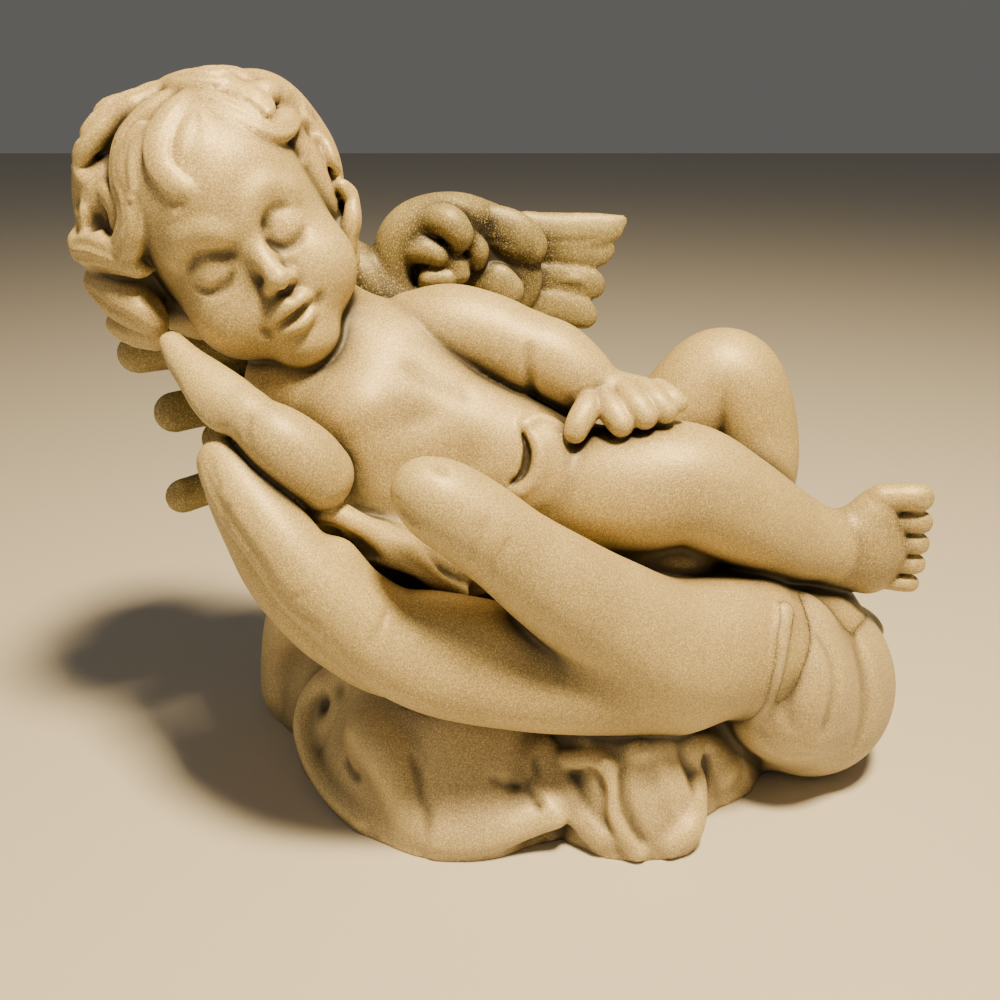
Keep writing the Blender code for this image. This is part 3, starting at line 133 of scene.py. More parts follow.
@dataclass(frozen=True)
class Place:
    """A local frame for one feature: x to the viewer's right, y away, z up."""

    origin: tuple[float, float, float]
    facing: tuple[float, float, float]
    up: tuple[float, float, float]

    @property
    def axes(self) -> np.ndarray:
        """The frame's directions.

        Returns:
            Its x, y and z, as columns.
        """
        back = -unit(self.facing)
        right = unit(np.cross(back, self.up))
        return np.column_stack([right, back, np.cross(right, back)])

    def at(self, x: float, y: float, z: float) -> np.ndarray:
        """A local point in the figure's own frame."""
        return np.asarray(self.origin) + self.axes @ vec(x, y, z)

    def path(self, rows: Rows) -> list[tuple[float, ...]]:
        """Rows of (x, y, z, radius) in the figure's own frame."""
        return [(*self.at(*row[:3]), row[3]) for row in rows]


@dataclass
class Clay:
    """A block of clay: a grid of distances to the surface, less than zero inside."""

    voxel: float
    low: tuple[float, float, float] = (-104.0, -62.0, -6.0)
    high: tuple[float, float, float] = (116.0, 56.0, 180.0)
    reach: float = 7.0  # how far from a form its distances are worked out
    far: float = 50.0  # stands for any distance beyond that
    used: list[Cut] = field(default_factory=list)

    def __post_init__(self) -> None:
        """Lays out the grid."""
        self.first = np.floor(np.array(self.low) / self.voxel).astype(int)
        last = np.ceil(np.array(self.high) / self.voxel).astype(int)
        self.axes = []
        for i in range(3):
            steps = np.arange(self.first[i], last[i] + 1)
            self.axes.append((steps * self.voxel).astype(np.float32))
        self.field = np.full([len(a) for a in self.axes], self.far, np.float32)

    def window(self, low: Row, high: Row) -> tuple[Cut, list[np.ndarray]]:
        """Finds the part of the grid between two corners.

        Args:
            low: the corner with the least of each.
            high: the other corner.

        Returns:
            The part, and the coordinates over it.
        """
        cut = []
        for i in range(3):
            start = int(np.floor(low[i] / self.voxel)) - self.first[i]
            stop = int(np.ceil(high[i] / self.voxel)) + 1 - self.first[i]
            size = len(self.axes[i])
            cut.append(slice(min(max(start, 0), size), max(min(stop, size), 0)))
        axes = [self.axes[i][cut[i]] for i in range(3)]
        return tuple(cut), np.meshgrid(*axes, indexing="ij", sparse=True)

    def join(self, cut: Cut, distance: np.ndarray, blend: float) -> None:
        """Adds a form that is worked out over part of the grid."""
        self.field[cut] = soft_min(self.field[cut], distance.astype(np.float32), blend)
        self.used.append(cut)

    def mass(
        self,
        centre: Row,
        radii: Row,
        axes: np.ndarray | None = None,
        blend: float = 3.0,
    ) -> None:
        """Adds an ellipsoid.

        Args:
            centre: its middle.
            radii: its radii, along the columns of axes.
            axes: its directions; the figure's own if None.
            blend: the fillet where it meets what is there.
        """
        axes = np.eye(3) if axes is None else axes
        reach = np.abs(axes) @ np.asarray(radii, float) + self.reach
        cut, grid = self.window(np.asarray(centre) - reach, np.asarray(centre) + reach)
        offset = [grid[i] - centre[i] for i in range(3)]
        local = [sum(axes[i, k] * offset[i] for i in range(3)) / radii[k] for k in range(3)]
        outer = np.sqrt(sum(v * v for v in local))
        inner = np.sqrt(sum((v / r) ** 2 for v, r in zip(local, radii))) + 1e-9
        distance = outer * (outer - 1.0) / inner
        self.join(cut, distance, blend)

    def swept(
        self, points: np.ndarray, reach: float, flat: float, facing: Row | Facing | None
    ) -> tuple[Cut, np.ndarray]:
        """Distances to a roll swept along rows of (x, y, z, radius).

        Args:
            points: the rows.
            reach: how far out to work.
            flat: under 1 thins the roll along facing.
            facing: a direction, or a function that gives one at a point.

        Returns:
            The part of the grid, and the distances over it.
        """
        margin = points[:, 3].max() + reach
        low = points[:, :3].min(axis=0) - margin
        cut, _ = self.window(low, points[:, :3].max(axis=0) + margin)
        origin = [s.start for s in cut]
        result = np.full([s.stop - s.start for s in cut], self.far, np.float32)
        for a, b in zip(points[:-1], points[1:]):
            low = np.minimum(a, b)[:3] - margin
            part, grid = self.window(low, np.maximum(a, b)[:3] + margin)
            if any(s.start >= s.stop for s in part):
                continue
            along = b[:3] - a[:3]
            length2 = max(float(along @ along), 1e-9)
            off = [grid[i] - np.float32(a[i]) for i in range(3)]
            t = sum(off[i] * np.float32(along[i] / length2) for i in range(3))
            t = np.clip(t, 0.0, 1.0)
            off = [off[i] - t * np.float32(along[i]) for i in range(3)]
            radius = np.float32(a[3]) + t * np.float32(b[3] - a[3])
            square = sum(v * v for v in off)
            if flat < 1.0:
                normal = facing(0.5 * (a[:3] + b[:3])) if callable(facing) else unit(facing)
                normal = unit(normal - (normal @ along) * along / length2)
                thin = sum(off[i] * np.float32(normal[i]) for i in range(3)) ** 2
                wide = np.maximum(square - thin, 0.0)
                outer = np.sqrt(wide / radius**2 + thin / (radius * flat) ** 2)
                inner = np.sqrt(wide / radius**4 + thin / (radius * flat) ** 4) + 1e-9
                distance = outer * (outer - 1.0) / inner
            else:
                distance = np.sqrt(square) - radius
            local = tuple(slice(s.start - o, s.stop - o) for s, o in zip(part, origin))
            result[local] = np.minimum(result[local], distance)
        return cut, result

    def roll(
        self,
        points: Rows,
        blend: float = 3.0,
        flat: float = 1.0,
        facing: Row | Facing | None = None,
        spans: int = 9,
    ) -> None:
        """Adds a swept roll, smooth through its points; see swept."""
        cut, distance = self.swept(spline(points, spans), self.reach, flat, facing)
        self.join(cut, distance, blend)

    def probe(self, point: Row) -> tuple[float, np.ndarray]:
        """Feels for the surface from a point.

        Args:
            point: the point.

        Returns:
            The distance to the surface there, and the way out from it.
        """
        place = np.asarray(point, float) / self.voxel - self.first
        low = np.clip(np.floor(place).astype(int), 0, np.array(self.field.shape) - 2)
        part = np.clip(place - low, 0.0, 1.0)
        cube = self.field[tuple(slice(n, n + 2) for n in low)].astype(float)
        inside = [vec(1 - t, t) for t in part]
        slope = vec(-1, 1)
        distance = np.einsum("ijk,i,j,k", cube, *inside)
        way = []
        for i in range(3):
            weights = [slope if k == i else inside[k] for k in range(3)]
            way.append(np.einsum("ijk,i,j,k", cube, *weights))
        return float(distance), np.array(way) / max(float(np.linalg.norm(way)), 1e-6)

    def settle(self, points: Rows, rise: float = 0.0) -> np.ndarray:
        """Moves rows to the surface.

        Args:
            points: rows of (x, y, z, ...).
            rise: how far above it they end; below it if negative.

        Returns:
            The moved rows.
        """
        settled = np.array(points, float)
        for row in settled:
            for _ in range(5):
                distance, way = self.probe(row[:3])
                row[:3] -= (distance - rise) * way
        return settled

    def stroke(self, points: Rows, depth: float, spans: int = 5) -> None:
        """Presses a groove into the surface, or raises a ridge on it.

        Args:
            points: rows of (x, y, z, width).
            depth: how deep it goes; a ridge if negative.
            spans: steps between two rows.
        """
        points = self.settle(spline(points, spans))
        width = float(points[:, 3].mean())
        along = np.linspace(-1.0, 1.0, len(points))
        points[:, 3] = -1.5 * width * np.abs(along) ** 5  # dies away at both ends
        cut, distance = self.swept(points, 2.4 * width, 1.0, None)
        self.field[cut] += depth * np.exp(-((distance / width) ** 2)).astype(np.float32)

    def dent(self, centre: Row, width: float, depth: float) -> None:
        """Presses a round dimple, or raises a bump.

        Args:
            centre: its middle.
            width: how wide it is.
            depth: how deep it is; a bump if negative.
        """
        centre = np.asarray(centre, float)
        cut, grid = self.window(centre - 2.4 * width, centre + 2.4 * width)
        square = sum((grid[i] - centre[i]) ** 2 for i in range(3))
        self.field[cut] += depth * np.exp(-square / width**2).astype(np.float32)

    def carve(self, points: Rows, blend: float) -> None:
        """Cuts away a swept roll; see swept."""
        cut, distance = self.swept(spline(points, 9), self.reach, 1.0, None)
        self.field[cut] = -soft_min(-self.field[cut], distance, blend)

    def take(self, other: "Clay", blend: float) -> tuple[Cut, np.ndarray]:
        """Joins another block.

        Args:
            other: the block.
            blend: the fillet where it meets what is there.

        Returns:
            The part of the grid that it fills, and its share of the surface there.
        """
        cut = []
        for i in range(3):
            start = min(s[i].start for s in other.used)
            stop = max(s[i].stop for s in other.used)
            cut.append(slice(start, stop))
        cut = tuple(cut)
        softness = max(blend, 1.2)
        share = np.clip((self.field[cut] - other.field[cut]) / softness + 0.5, 0.0, 1.0)
        self.join(cut, other.field[cut], blend)
        return cut, share

    def surface(self) -> tuple[np.ndarray, np.ndarray]:
        """Turns the clay into a mesh.

        Returns:
            Its points in mm, and its quads.
        """
        band = 3.0 * self.voxel
        grid = openvdb.FloatGrid(background=band)
        grid.copyFromArray(np.clip(self.field, -band, band).astype(np.float32))
        points, quads = grid.convertToQuads(isovalue=0.0)
        return (points + self.first) * self.voxel, quads

    def sampled(self, grid: np.ndarray, points: np.ndarray) -> np.ndarray:
        """Reads a grid between its places.

        Args:
            grid: the values, one for each place of the clay.
            points: where to read, in mm.

        Returns:
            The value at each point.
        """
        place = points / self.voxel - self.first
        low = np.clip(np.floor(place).astype(int), 0, np.array(grid.shape) - 2)
        part = np.clip(place - low, 0.0, 1.0)
        total = np.zeros(len(points))
        for corner in np.ndindex(2, 2, 2):
            weight = np.prod(np.where(corner, part, 1.0 - part), axis=1)
            total += weight * grid[tuple((low + corner).T)]
        return total

    def fullness(self, radius: float) -> np.ndarray:
        """Works out how much of the space around each place is filled.

        Args:
            radius: how far the space reaches, in mm.

        Returns:
            The share that is filled, from 0 to 1.
        """
        solid = np.clip(0.5 - self.field / self.voxel, 0.0, 1.0).astype(np.float32)
        steps = max(int(round(radius / self.voxel)), 1)
        for _ in range(2):
            for axis in range(3):
                size = solid.shape[axis]
                summed = np.cumsum(solid, axis=axis, dtype=np.float32)
                high = np.minimum(np.arange(size) + steps, size - 1)
                low = np.arange(size) - steps - 1
                lower = np.take(summed, np.maximum(low, 0), axis=axis)
                shape = [1, 1, 1]
                shape[axis] = size
                lower *= (low >= 0).astype(np.float32).reshape(shape)
                solid = (np.take(summed, high, axis=axis) - lower) / (2 * steps + 1)
        return solid


class Form(Protocol):
    """A part of the figure: its fillet where it meets the rest, its tint and its shape."""

    blend: float
    tint: Tint

    def shape(self, clay: Clay) -> None:
        """Works the part in clay of its own."""


# ---------------------------------------------------------------- the great hand


@dataclass(frozen=True)
class GreatHand:
    """The open left hand that carries the child, palm up, fingers to -X."""

    blend: float = 1.5
    tint: Tint = Tint.SKIN
    thumb: Rows = (
        (58, -20, 42, 17), (38, -30, 47, 16), (23, -37, 59, 13.3), (11, -42, 70, 11.2),
        (3, -44.5, 77.5, 9.8), (-4.5, -46, 84.5, 9.3), (-11, -46.5, 89.3, 8.8),
        (-14.4, -46.5, 91.5, 7.4),
    )
    index: Rows = (
        (40, -26, 38, 15), (18, -34, 41.2, 13), (3, -38, 43.4, 11.4), (-13, -42, 48, 10.1),
        (-25, -44, 55.5, 9.4), (-32, -45.5, 63.5, 8.6), (-39, -45.5, 71.5, 8.2),
        (-45, -43.5, 79.5, 7.6), (-51, -40, 86, 7.2), (-55, -37, 90.5, 6.6), (-57.5, -34.5, 93.5, 5.8),
    )
    middle: Rows = (
        (4, -22, 38, 12), (-23, -28, 43.5, 10.4), (-34.4, -30, 50.7, 9.8), (-42, -30, 57.7, 9.4),
        (-48.5, -30, 66.8, 8.8), (-52.6, -29, 75.8, 8.4), (-56.5, -27, 84, 7.8), (-58.5, -25, 88.5, 7),
    )
    ring: Rows = (
        (-2, -6, 36, 12), (-26, -12, 42, 10.4), (-42, -15, 55, 9.4), (-52, -15, 69, 8.4),
        (-56, -13, 84, 7),
    )
    little: Rows = (
        (-4, 14, 44, 12), (-26, 8, 46, 9.6), (-40, 4, 56, 8.2), (-50, 3, 68, 7.4), (-54, 3, 81, 6),
    )
    wrist: Rows = ((76, -2, 34, 19), (56, -12, 38, 19), (36, -20, 42, 17), (14, -26, 45, 13))
    heel: Rows = ((72, 6, 36, 17), (44, 14, 40, 17), (14, 18, 42, 14), (-10, 14, 46, 12))
    palm: Rows = ((40, -4, 40, 16), (10, -8, 40, 15), (-12, -12, 45, 13))
    # fills the fork between the thumb and the index finger
    web: Rows = (
        (-35, -41, 73.5, 5.6), (-30.5, -41, 65, 7.2), (-22.8, -41, 58.8, 8.2), (-14.5, -40, 56.4, 9),
        (-6, -38.5, 53.4, 9.6), (6, -36, 49, 9.6),
    )
    # grooves, as rows of (x, y, z, width)
    finger_groove: Rows = (
        (-61.4, -37.9, 96.2, 1.1), (-56.9, -44.3, 88.8, 1.2), (-48.2, -50.4, 78.5, 1.2),
        (-44, -52, 71.1, 1.2), (-34, -54, 63.9, 1.1),
    )
    finger_nail: Rows = ((-61.2, -41, 98.6, 0.8), (-58.8, -43, 94.5, 0.8), (-56.3, -45, 90.4, 0.8))
    thumb_nick: Rows = ((-20.6, -50.4, 91.4, 0.9), (-18.5, -52.3, 89.6, 1), (-15.1, -54.1, 87.5, 0.9))
    thumb_nail: Rows = ((-13.6, -47.6, 99.4, 0.8), (-12.2, -48.7, 98.4, 1), (-10.3, -50.7, 97.2, 0.8))
    joint_creases: Sequence[Rows] = (
        [(-2.2, -53.8, 89.3, 0.7), (-4.2, -55.3, 85.6, 0.8), (-6.4, -53.4, 79.9, 0.7)],
        [(2.7, -53.1, 85.6, 0.7), (0, -54.8, 81.6, 0.8), (-2.7, -53.1, 75.8, 0.7)],
        [(-53.7, -45.8, 89.4, 0.7), (-56.1, -45.2, 86.1, 0.8), (-54.6, -45.9, 82.4, 0.7)],
        [(-45, -51, 75, 0.7), (-41.8, -52.9, 71.4, 0.8), (-38, -53, 73.4, 0.7)],
        [(-22, -49, 68, 0.7), (-24.4, -51.4, 64, 0.8), (-28, -52.3, 60, 0.7)],
    )

    def shape(self, clay: Clay) -> None:
        """Adds the wrist, the heel of the hand, and the fingers.

        Args:
            clay: the clay that is worked.
        """
        clay.roll(self.wrist, 6)
        clay.roll(self.heel, 8)
        clay.roll(self.palm, 8)
        clay.roll(self.thumb, 5)
        clay.roll(self.index, 5)
        for finger in (self.middle, self.ring, self.little):
            clay.roll(finger, 1.2)
        clay.roll(self.web, 3)
        # the groove beside the index finger, the nail, the nick, and the creases of the joints
        clay.stroke(self.finger_groove, 0.8)
        clay.stroke(self.finger_nail, 0.6)
        clay.stroke(self.thumb_nick, 1.8)
        clay.stroke(self.thumb_nail, 2)
        for crease in self.joint_creases:
            clay.stroke(crease, 0.6)


# ---------------------------------------------------------------- the child


@dataclass(frozen=True)
class Trunk:
    """Chest, belly and hips, lying back with the right side down."""

    blend: float = 1.0
    tint: Tint = Tint.SKIN
    # the chest, ribs, belly, hip, seat and near shoulder, as (middle, radii)
    masses: Sequence[tuple[Row, Row]] = (
        ((-24.0, 0.0, 102.0), (18, 17, 18)), ((-30, -11, 97), (14, 17, 15)),
        ((-27, -13, 82), (15, 15, 16)), ((-14, -7, 90), (19, 17, 18)), ((2, -7, 84), (19, 17, 17)),
        ((14.0, -4.0, 77.0), (18, 17, 16)), ((-12, -8, 66), (24, 22, 14)), ((32, -6, 62), (24, 18, 13)),
        ((-47, -10, 104), (11, 10, 11)),
    )
    neck: Rows = ((-30, -2, 106, 13), (-38, 0, 113, 12), (-48, 0, 121, 11))
    # strips of cloth between the belly and the index finger
    upper_strip: Rows = (
        (-47, -34, 86, 3.4), (-42.1, -34.6, 83, 3), (-35.7, -34.6, 82.2, 3), (-31.4, -34.6, 80, 2.8),
        (-26.6, -33.6, 76.6, 2.6), (-22, -33, 72.6, 2.4),
    )
    lower_strip: Rows = (
        (-31.9, -33, 79.4, 2.2), (-24.2, -33, 73.4, 2.2), (-17.8, -33, 67.8, 2.2),
        (-12.9, -32, 63.9, 2), (-9, -30, 61, 2),
    )
    strip_fold: Rows = (
        (-42, -37, 80.6, 1.2), (-35, -37.4, 79, 1.2), (-30, -37, 75, 1.2), (-25, -36, 71.6, 1.2),
    )
    strip_gap: Rows = ((-30, -36, 69, 1.6), (-24, -36, 66.2, 2), (-17, -36, 62.6, 1.6))
    # the cloth at the loins, with its open edge
    loin_cloth: Rows = (
        (9, -18, 99, 4), (12.5, -20, 94.5, 5), (13, -23, 87, 5), (9.5, -25, 82, 4.5), (2, -27, 79.5, 4),
    )
    loin_slit: Rows = (
        (5, -19.9, 97.1, 0.5), (6, -21.4, 93.8, 0.9), (6.1, -22, 90.2, 1.2), (5, -23, 86.7, 1.1),
        (2.6, -24.3, 84.8, 0.6),
    )
    slit_lip: Rows = (
        (6, -19.7, 97.4, 0.8), (8.3, -21.3, 93.5, 1.2), (8.9, -23.4, 90, 1.4), (7.8, -24.6, 86.2, 1.3),
        (4.4, -25.6, 83, 1.1),
    )
    loin_hem: Rows = (
        (5.3, -19.5, 98, 1), (8.9, -18, 100, 1.1), (12.5, -17, 99.9, 1.1), (17, -17, 97.5, 1),
    )
    chest_fold: Rows = ((-36, -22, 96, 4), (-24, -24, 99, 4), (-12, -22, 101, 4))
    armpit_crease: Rows = ((-22, -16, 110, 2.4), (-13, -18, 106, 2.4), (-4, -18, 103, 2.4))

    def shape(self, clay: Clay) -> None:
        """Adds the body, the neck and the cloth at the loins.

        Args:
            clay: the clay that is worked.
        """
        for number, (centre, radii) in enumerate(self.masses):
            clay.mass(centre, radii, blend=8.0 if number else 0.0)
        clay.roll(self.neck, 6)
        # strips of cloth between the belly and the index finger
        clay.roll(self.upper_strip, 1.4)
        clay.roll(self.lower_strip, 1)
        clay.mass((-30, -26, 70), (16, 9, 9), blend=5)
        clay.stroke(self.strip_fold, 1.4)
        clay.stroke(self.strip_gap, 1.6)
        # the cloth at the loins, with its open edge
        clay.roll(clay.settle(self.loin_cloth, -3.6), 2.5)
        clay.carve(clay.settle(self.loin_slit, -0.5), 0.6)
        clay.roll(clay.settle(self.slit_lip, -0.5), 1.6)
        clay.roll(clay.settle(self.loin_hem, -0.4), 1.4)
        # the shallow fold under the chest, the navel's hollow, and the crease beside the armpit
        clay.stroke(self.chest_fold, 0.7)
        clay.dent((-6, -24, 92), 5, 0.8)
        clay.stroke(self.armpit_crease, 0.6)


@dataclass(frozen=True)
class Legs:
    """The right leg crosses in front, the left knee is raised behind it."""

    blend: float = 2.5
    tint: Tint = Tint.SKIN
    right: Rows = (
        (14, -8, 77, 15), (28, -13, 79, 15.5), (42, -14, 81, 14.5), (54, -12, 75, 13.3),
        (68, -8, 66, 11.6), (80, -6, 61.5, 8.6),
    )
    left: Rows = (
        (22, 10, 68, 14), (43.5, 12, 87, 12.8), (52, 14, 96, 13), (56.4, 14, 98.3, 13),
        (59.6, 13, 95, 13), (62.6, 12, 86, 12.8), (63.6, 10, 76, 12.4), (64, 10, 62, 10),
    )
    left_foot: Rows = ((64, 11, 60, 9), (68, 11, 55, 7.5), (78, 11, 53, 6.5), (86, 11, 52, 5))

    def shape(self, clay: Clay) -> None:
        """Adds both legs and the left foot, which stands behind the right one.

        Args:
            clay: the clay that is worked.
        """
        clay.roll(self.right, 4)
        clay.roll(self.left, 3)
        clay.roll(self.left_foot, 3)
        for i in range(5):
            toe = [(80, 6 + 2.8 * i, 52, 3), (92 - 1.2 * i, 5 + 3.1 * i, 51.5, 2.6 - 0.15 * i)]
            clay.roll(toe, 0.6)


@dataclass(frozen=True)
class Foot:
    """The right foot: its upper side faces the front, and the big toe is uppermost."""

    blend: float = 2.0
    tint: Tint = Tint.FOOT
    sole: Rows = ((76, -6, 62, 9), (83, -5.5, 60.5, 10), (88, -5, 60.6, 11), (90, -5, 60.8, 11.4))
    # rows of (height, how far out it ends, radius)
    toes: Rows = (
        (75, 104.4, 3.5), (68.6, 105.2, 2.9), (62.9, 105.3, 2.75), (57.4, 105.2, 2.6),
        (52.1, 104.4, 2.3),
    )
    # across the roots of the toes
    ball: Rows = ((92.5, -4.6, 54, 5.4), (92.5, -4.6, 70.6, 5.4))

    def shape(self, clay: Clay) -> None:
        """Adds the sole and the toes with their nails.

        Args:
            clay: the clay that is worked.
        """
        clay.roll(self.sole, 3, flat=0.7, facing=(0, -1, 0))
        clay.roll(self.ball, 3)
        for height, end, radius in self.toes:
            root = (93, -5.6, 61 + 0.94 * (height - 61), radius)
            joint = (end - radius - 2.5, -7.4, height, radius)
            clay.roll([root, joint, (end - radius, -7.8, height, radius)], 0.5)
            nail = (end - 0.7 * radius, -7.8 - 0.9 * radius, height + 0.1 * radius)
            clay.dent(nail, 0.45 * radius, 0.5)


@dataclass(frozen=True)
class LeftArm:
    """Shoulder, bent elbow, and the hand laid on the thigh."""

    blend: float = 0.8
    tint: Tint = Tint.SKIN
    thumb: Rows = (
        (21.3, -11, 100.8, 3), (19.3, -15.6, 99.2, 3.2), (17.6, -18, 97, 3), (16.8, -18.8, 95.2, 2.6),
    )
    fingers: Sequence[Rows] = (
        ((23.7, -12, 101.1, 3.2), (25.4, -16.2, 99, 3.3), (27, -18.4, 97, 3)),
        ((28.4, -12, 102.1, 3.2), (30.5, -16.2, 100.4, 3.3), (32.2, -18, 98.6, 3)),
        ((32.7, -11, 102.4, 3), (35, -14.9, 101, 3.1), (37, -16.4, 99.3, 2.8)),
        ((36.2, -9, 102.2, 2.7), (38.4, -12.8, 101.4, 2.8), (40, -14, 100.4, 2.4)),
    )
    upper_arm: Rows = (
        (-19.6, 3, 112, 10.6), (-11.7, 1.5, 113.4, 11), (-3, 0, 112, 10.6), (4, -1.5, 109.6, 10),
    )
    forearm: Rows = (
        (7, -2, 108.6, 9.8), (12, -3.2, 107.4, 9.6), (17, -5, 104.6, 8.6), (21.5, -6.6, 102, 6.8),
        (25, -8, 100.8, 5.6),
    )
    elbow_crease: Rows = (
        (6.8, -11, 114, 1.1), (6.2, -12, 110.6, 1.1), (6.4, -12, 106.4, 1.1), (7.4, -10, 101.6, 1.1),
        (8.6, -7, 98, 1.1),
    )
    wrist_crease: Rows = ((17.6, -14, 100.6, 0.8), (21.4, -14, 103, 0.8), (24.6, -13, 105.4, 0.8))

    def shape(self, clay: Clay) -> None:
        """Adds the arm, its creases, the back of the hand and the fingers.

        Args:
            clay: the clay that is worked.
        """
        clay.roll(self.upper_arm, 4)
        clay.roll(self.forearm, 1.5)
        clay.stroke(self.elbow_crease, 1.2)
        clay.stroke(self.wrist_crease, 0.4)
        clay.mass((29, -8.5, 101.2), (8.6, 5, 4.4), blend=2.5)
        clay.roll(self.thumb, 1.2)
        for finger in self.fingers:
            clay.roll(finger, 0.5)


@dataclass(frozen=True)
class RightArm:
    """The elbow is forward and low, and the forearm runs up to lie under the cheek."""

    blend: float = 1.0
    tint: Tint = Tint.SKIN
    forearm: Rows = (
        (-38.6, -34, 90.8, 7.8), (-41, -35.5, 94.6, 7.9), (-45.2, -36, 98.9, 7.2),
        (-49.6, -35, 102, 5.8), (-52, -34, 103.8, 5.3),
    )
    hand: Rows = (
        (-52, -34, 104, 5.4), (-56.4, -31.5, 106.2, 6), (-61, -28.5, 109, 5.4), (-66, -25, 112.6, 4),
        (-69.6, -22, 116, 2.8),
    )
    thumb: Rows = (
        (-54, -35, 102.6, 3), (-58, -34.4, 103.6, 2.8), (-62, -32, 106.6, 2.4),
        (-64.6, -29.6, 109.6, 1.8),
    )
    wrist_crease: Rows = ((-49.8, -40, 106.6, 0.7), (-50.6, -41, 103.2, 0.7), (-49.6, -40, 99.4, 0.7))

    def shape(self, clay: Clay) -> None:
        """Adds the forearm, and the hand that lies flat under the cheek.

        Args:
            clay: the clay that is worked.
        """
        clay.roll(self.forearm, 2)
        clay.roll(self.hand, 1.4, flat=0.8, facing=(0.3, -0.6, 0.7))
        clay.roll(self.thumb, 0.6)
        clay.stroke(self.wrist_crease, 0.7)


HEAD = Place(origin=(-61.0, -1.0, 140.0), facing=(0.26, -0.96, 0.10), up=(-0.50, -0.045, 0.866))


@dataclass(frozen=True)
class Head:
    """Skull and face, with closed eyes and the mouth a little open."""

    blend: float = 1.5
    tint: Tint = Tint.SKIN
    place: Place = HEAD
    # the skull, forehead, jaws, mouth and chin, as (middle, radii, fillet)
    masses: Sequence[tuple[Row, Row, float]] = (
        ((0, 3, 3), (22, 26, 25), 0), ((0, -12, 6), (16, 12, 14), 8),
        ((0, -8, -14), (18, 14.5, 19.5), 8), ((0, -17.5, -22), (8, 6.5, 6.5), 5),
        ((-0.5, -17, -30), (7, 6, 5.5), 6),
    )
    # the lower edges of the closed lids, as rows of (x, y, z, width) in the head's own frame
    left_lash: Rows = (
        (3, -21.6, -7.2, 0.8), (4.3, -22, -9.6, 1), (6.4, -22, -11.1, 1.05), (9.3, -21.6, -11.2, 1),
        (12.4, -20, -9.6, 0.8),
    )
    right_lash: Rows = (
        (-13.8, -19.6, -6.6, 0.8), (-12.8, -20.6, -9, 1), (-11.2, -21.4, -10.7, 1.05),
        (-8, -22, -11, 1), (-4.6, -21.8, -9.4, 0.8),
    )
    nose: Rows = (
        (1.4, -20, -1, 2.4), (1.3, -21.2, -5, 2.2), (1.2, -23, -9, 2), (1.3, -25, -12.4, 2),
        (1.5, -26.2, -14.8, 2.2),
    )
    upper_lip: Rows = (
        (-5.6, -22.8, -22.8, 0.8), (-2.8, -24.2, -21.8, 1.5), (-0.2, -25, -21, 1.8),
        (1.4, -25.2, -21.4, 1.5), (3.2, -24.7, -21.2, 1.6), (5.6, -22.8, -22.4, 0.8),
    )
    lower_lip: Rows = (
        (-4.2, -22.8, -24.6, 1), (-1.7, -23.8, -25.5, 1.7), (0.9, -24, -25.5, 1.8),
        (3.6, -23.2, -24.6, 1),
    )
    mouth_gap: Rows = (
        (-5.8, -23.6, -23.4, 0.7), (-2.7, -25.2, -23.6, 0.8), (0.4, -25.8, -23.5, 0.85),
        (2.9, -25.2, -23.3, 0.8), (5.6, -23.6, -23.1, 0.7),
    )
    lip_groove: Rows = ((1.4, -25.2, -18.8, 0.9), (1.6, -25.4, -20.2, 0.9))
    chin_fold: Rows = ((-3, -24, -27.3, 1.6), (3, -24, -27.3, 1.6))
    # over the lid, from its inner corner, and the brow, for either eye
    lid_crease: Rows = ((-4.4, -22, -5.6, 0.9), (0, -22.4, -3.6, 1), (4.2, -20.4, -4.8, 0.9))
    brow: Rows = ((2.6, -23.4, -2.6, 1.8), (6, -24.2, 0, 1.8), (11, -23, 0.8, 1.8), (15, -20, -2, 1.6))

    def shape(self, clay: Clay) -> None:
        """Adds the skull, cheeks, eyes, nose and lips.

        Args:
            clay: the clay that is worked.
        """
        face, axes = self.place, self.place.axes
        for centre, radii, blend in self.masses:
            clay.mass(face.at(*centre), radii, axes, blend)
        for side in (-1, 1):
            clay.mass(face.at(10 * side, -14.5, -18), (8.4, 8.2, 8.6), axes, 6)
            self.eye(clay, side)
        # nose: the bridge, the ball of the tip, the wings and the nostrils
        clay.roll(face.path(self.nose), 3)
        clay.mass(face.at(1.5, -26.4, -15.4), (2.4, 2.5, 2.2), axes, 1.2)
        for x in (-0.9, 3.9):
            clay.mass(face.at(x, -24.2, -16.2), (1.5, 2.1, 1.5), axes, 1)
        for x in (0.4, 2.7):
            clay.dent(face.at(x, -26, -17.8), 0.8, 0.8)
        # lips, a little apart, and the hollows at their corners
        clay.roll(face.path(self.upper_lip), 1.4)
        clay.roll(face.path(self.lower_lip), 1.4)
        clay.stroke(face.path(self.mouth_gap), 2.1)
        clay.stroke(face.path(self.lip_groove), 0.4)
        clay.stroke(face.path(self.chin_fold), 0.6)
        for x in (-6.7, 6.3):
            clay.dent(face.at(x, -23, -23.3), 1.6, 0.9)

    def eye(self, clay: Clay, side: int) -> None:
        """Adds one closed eye in its socket, and its brow.

        Args:
            clay: the clay that is worked.
            side: 1 for the child's left eye, -1 for the right one.
        """
        face, axes = self.place, self.place.axes
        middle, lash = (7.9, self.left_lash) if side > 0 else (-9.2, self.right_lash)
        clay.dent(face.at(4 * side, -22.5, -5.8), 2.8, 1.1)
        clay.mass(face.at(middle, -17.2, -8.3), (5.2, 4.5, 3.9), axes, 2.4)
        crease = [(middle + side * x, y, z, width) for x, y, z, width in self.lid_crease]
        clay.stroke(face.path(crease), 0.9)
        clay.stroke(face.path(lash), 2)
        brow = [(side * x, y, z, radius) for x, y, z, radius in self.brow]
        clay.roll(clay.settle(face.path(brow), -1.2), 3)


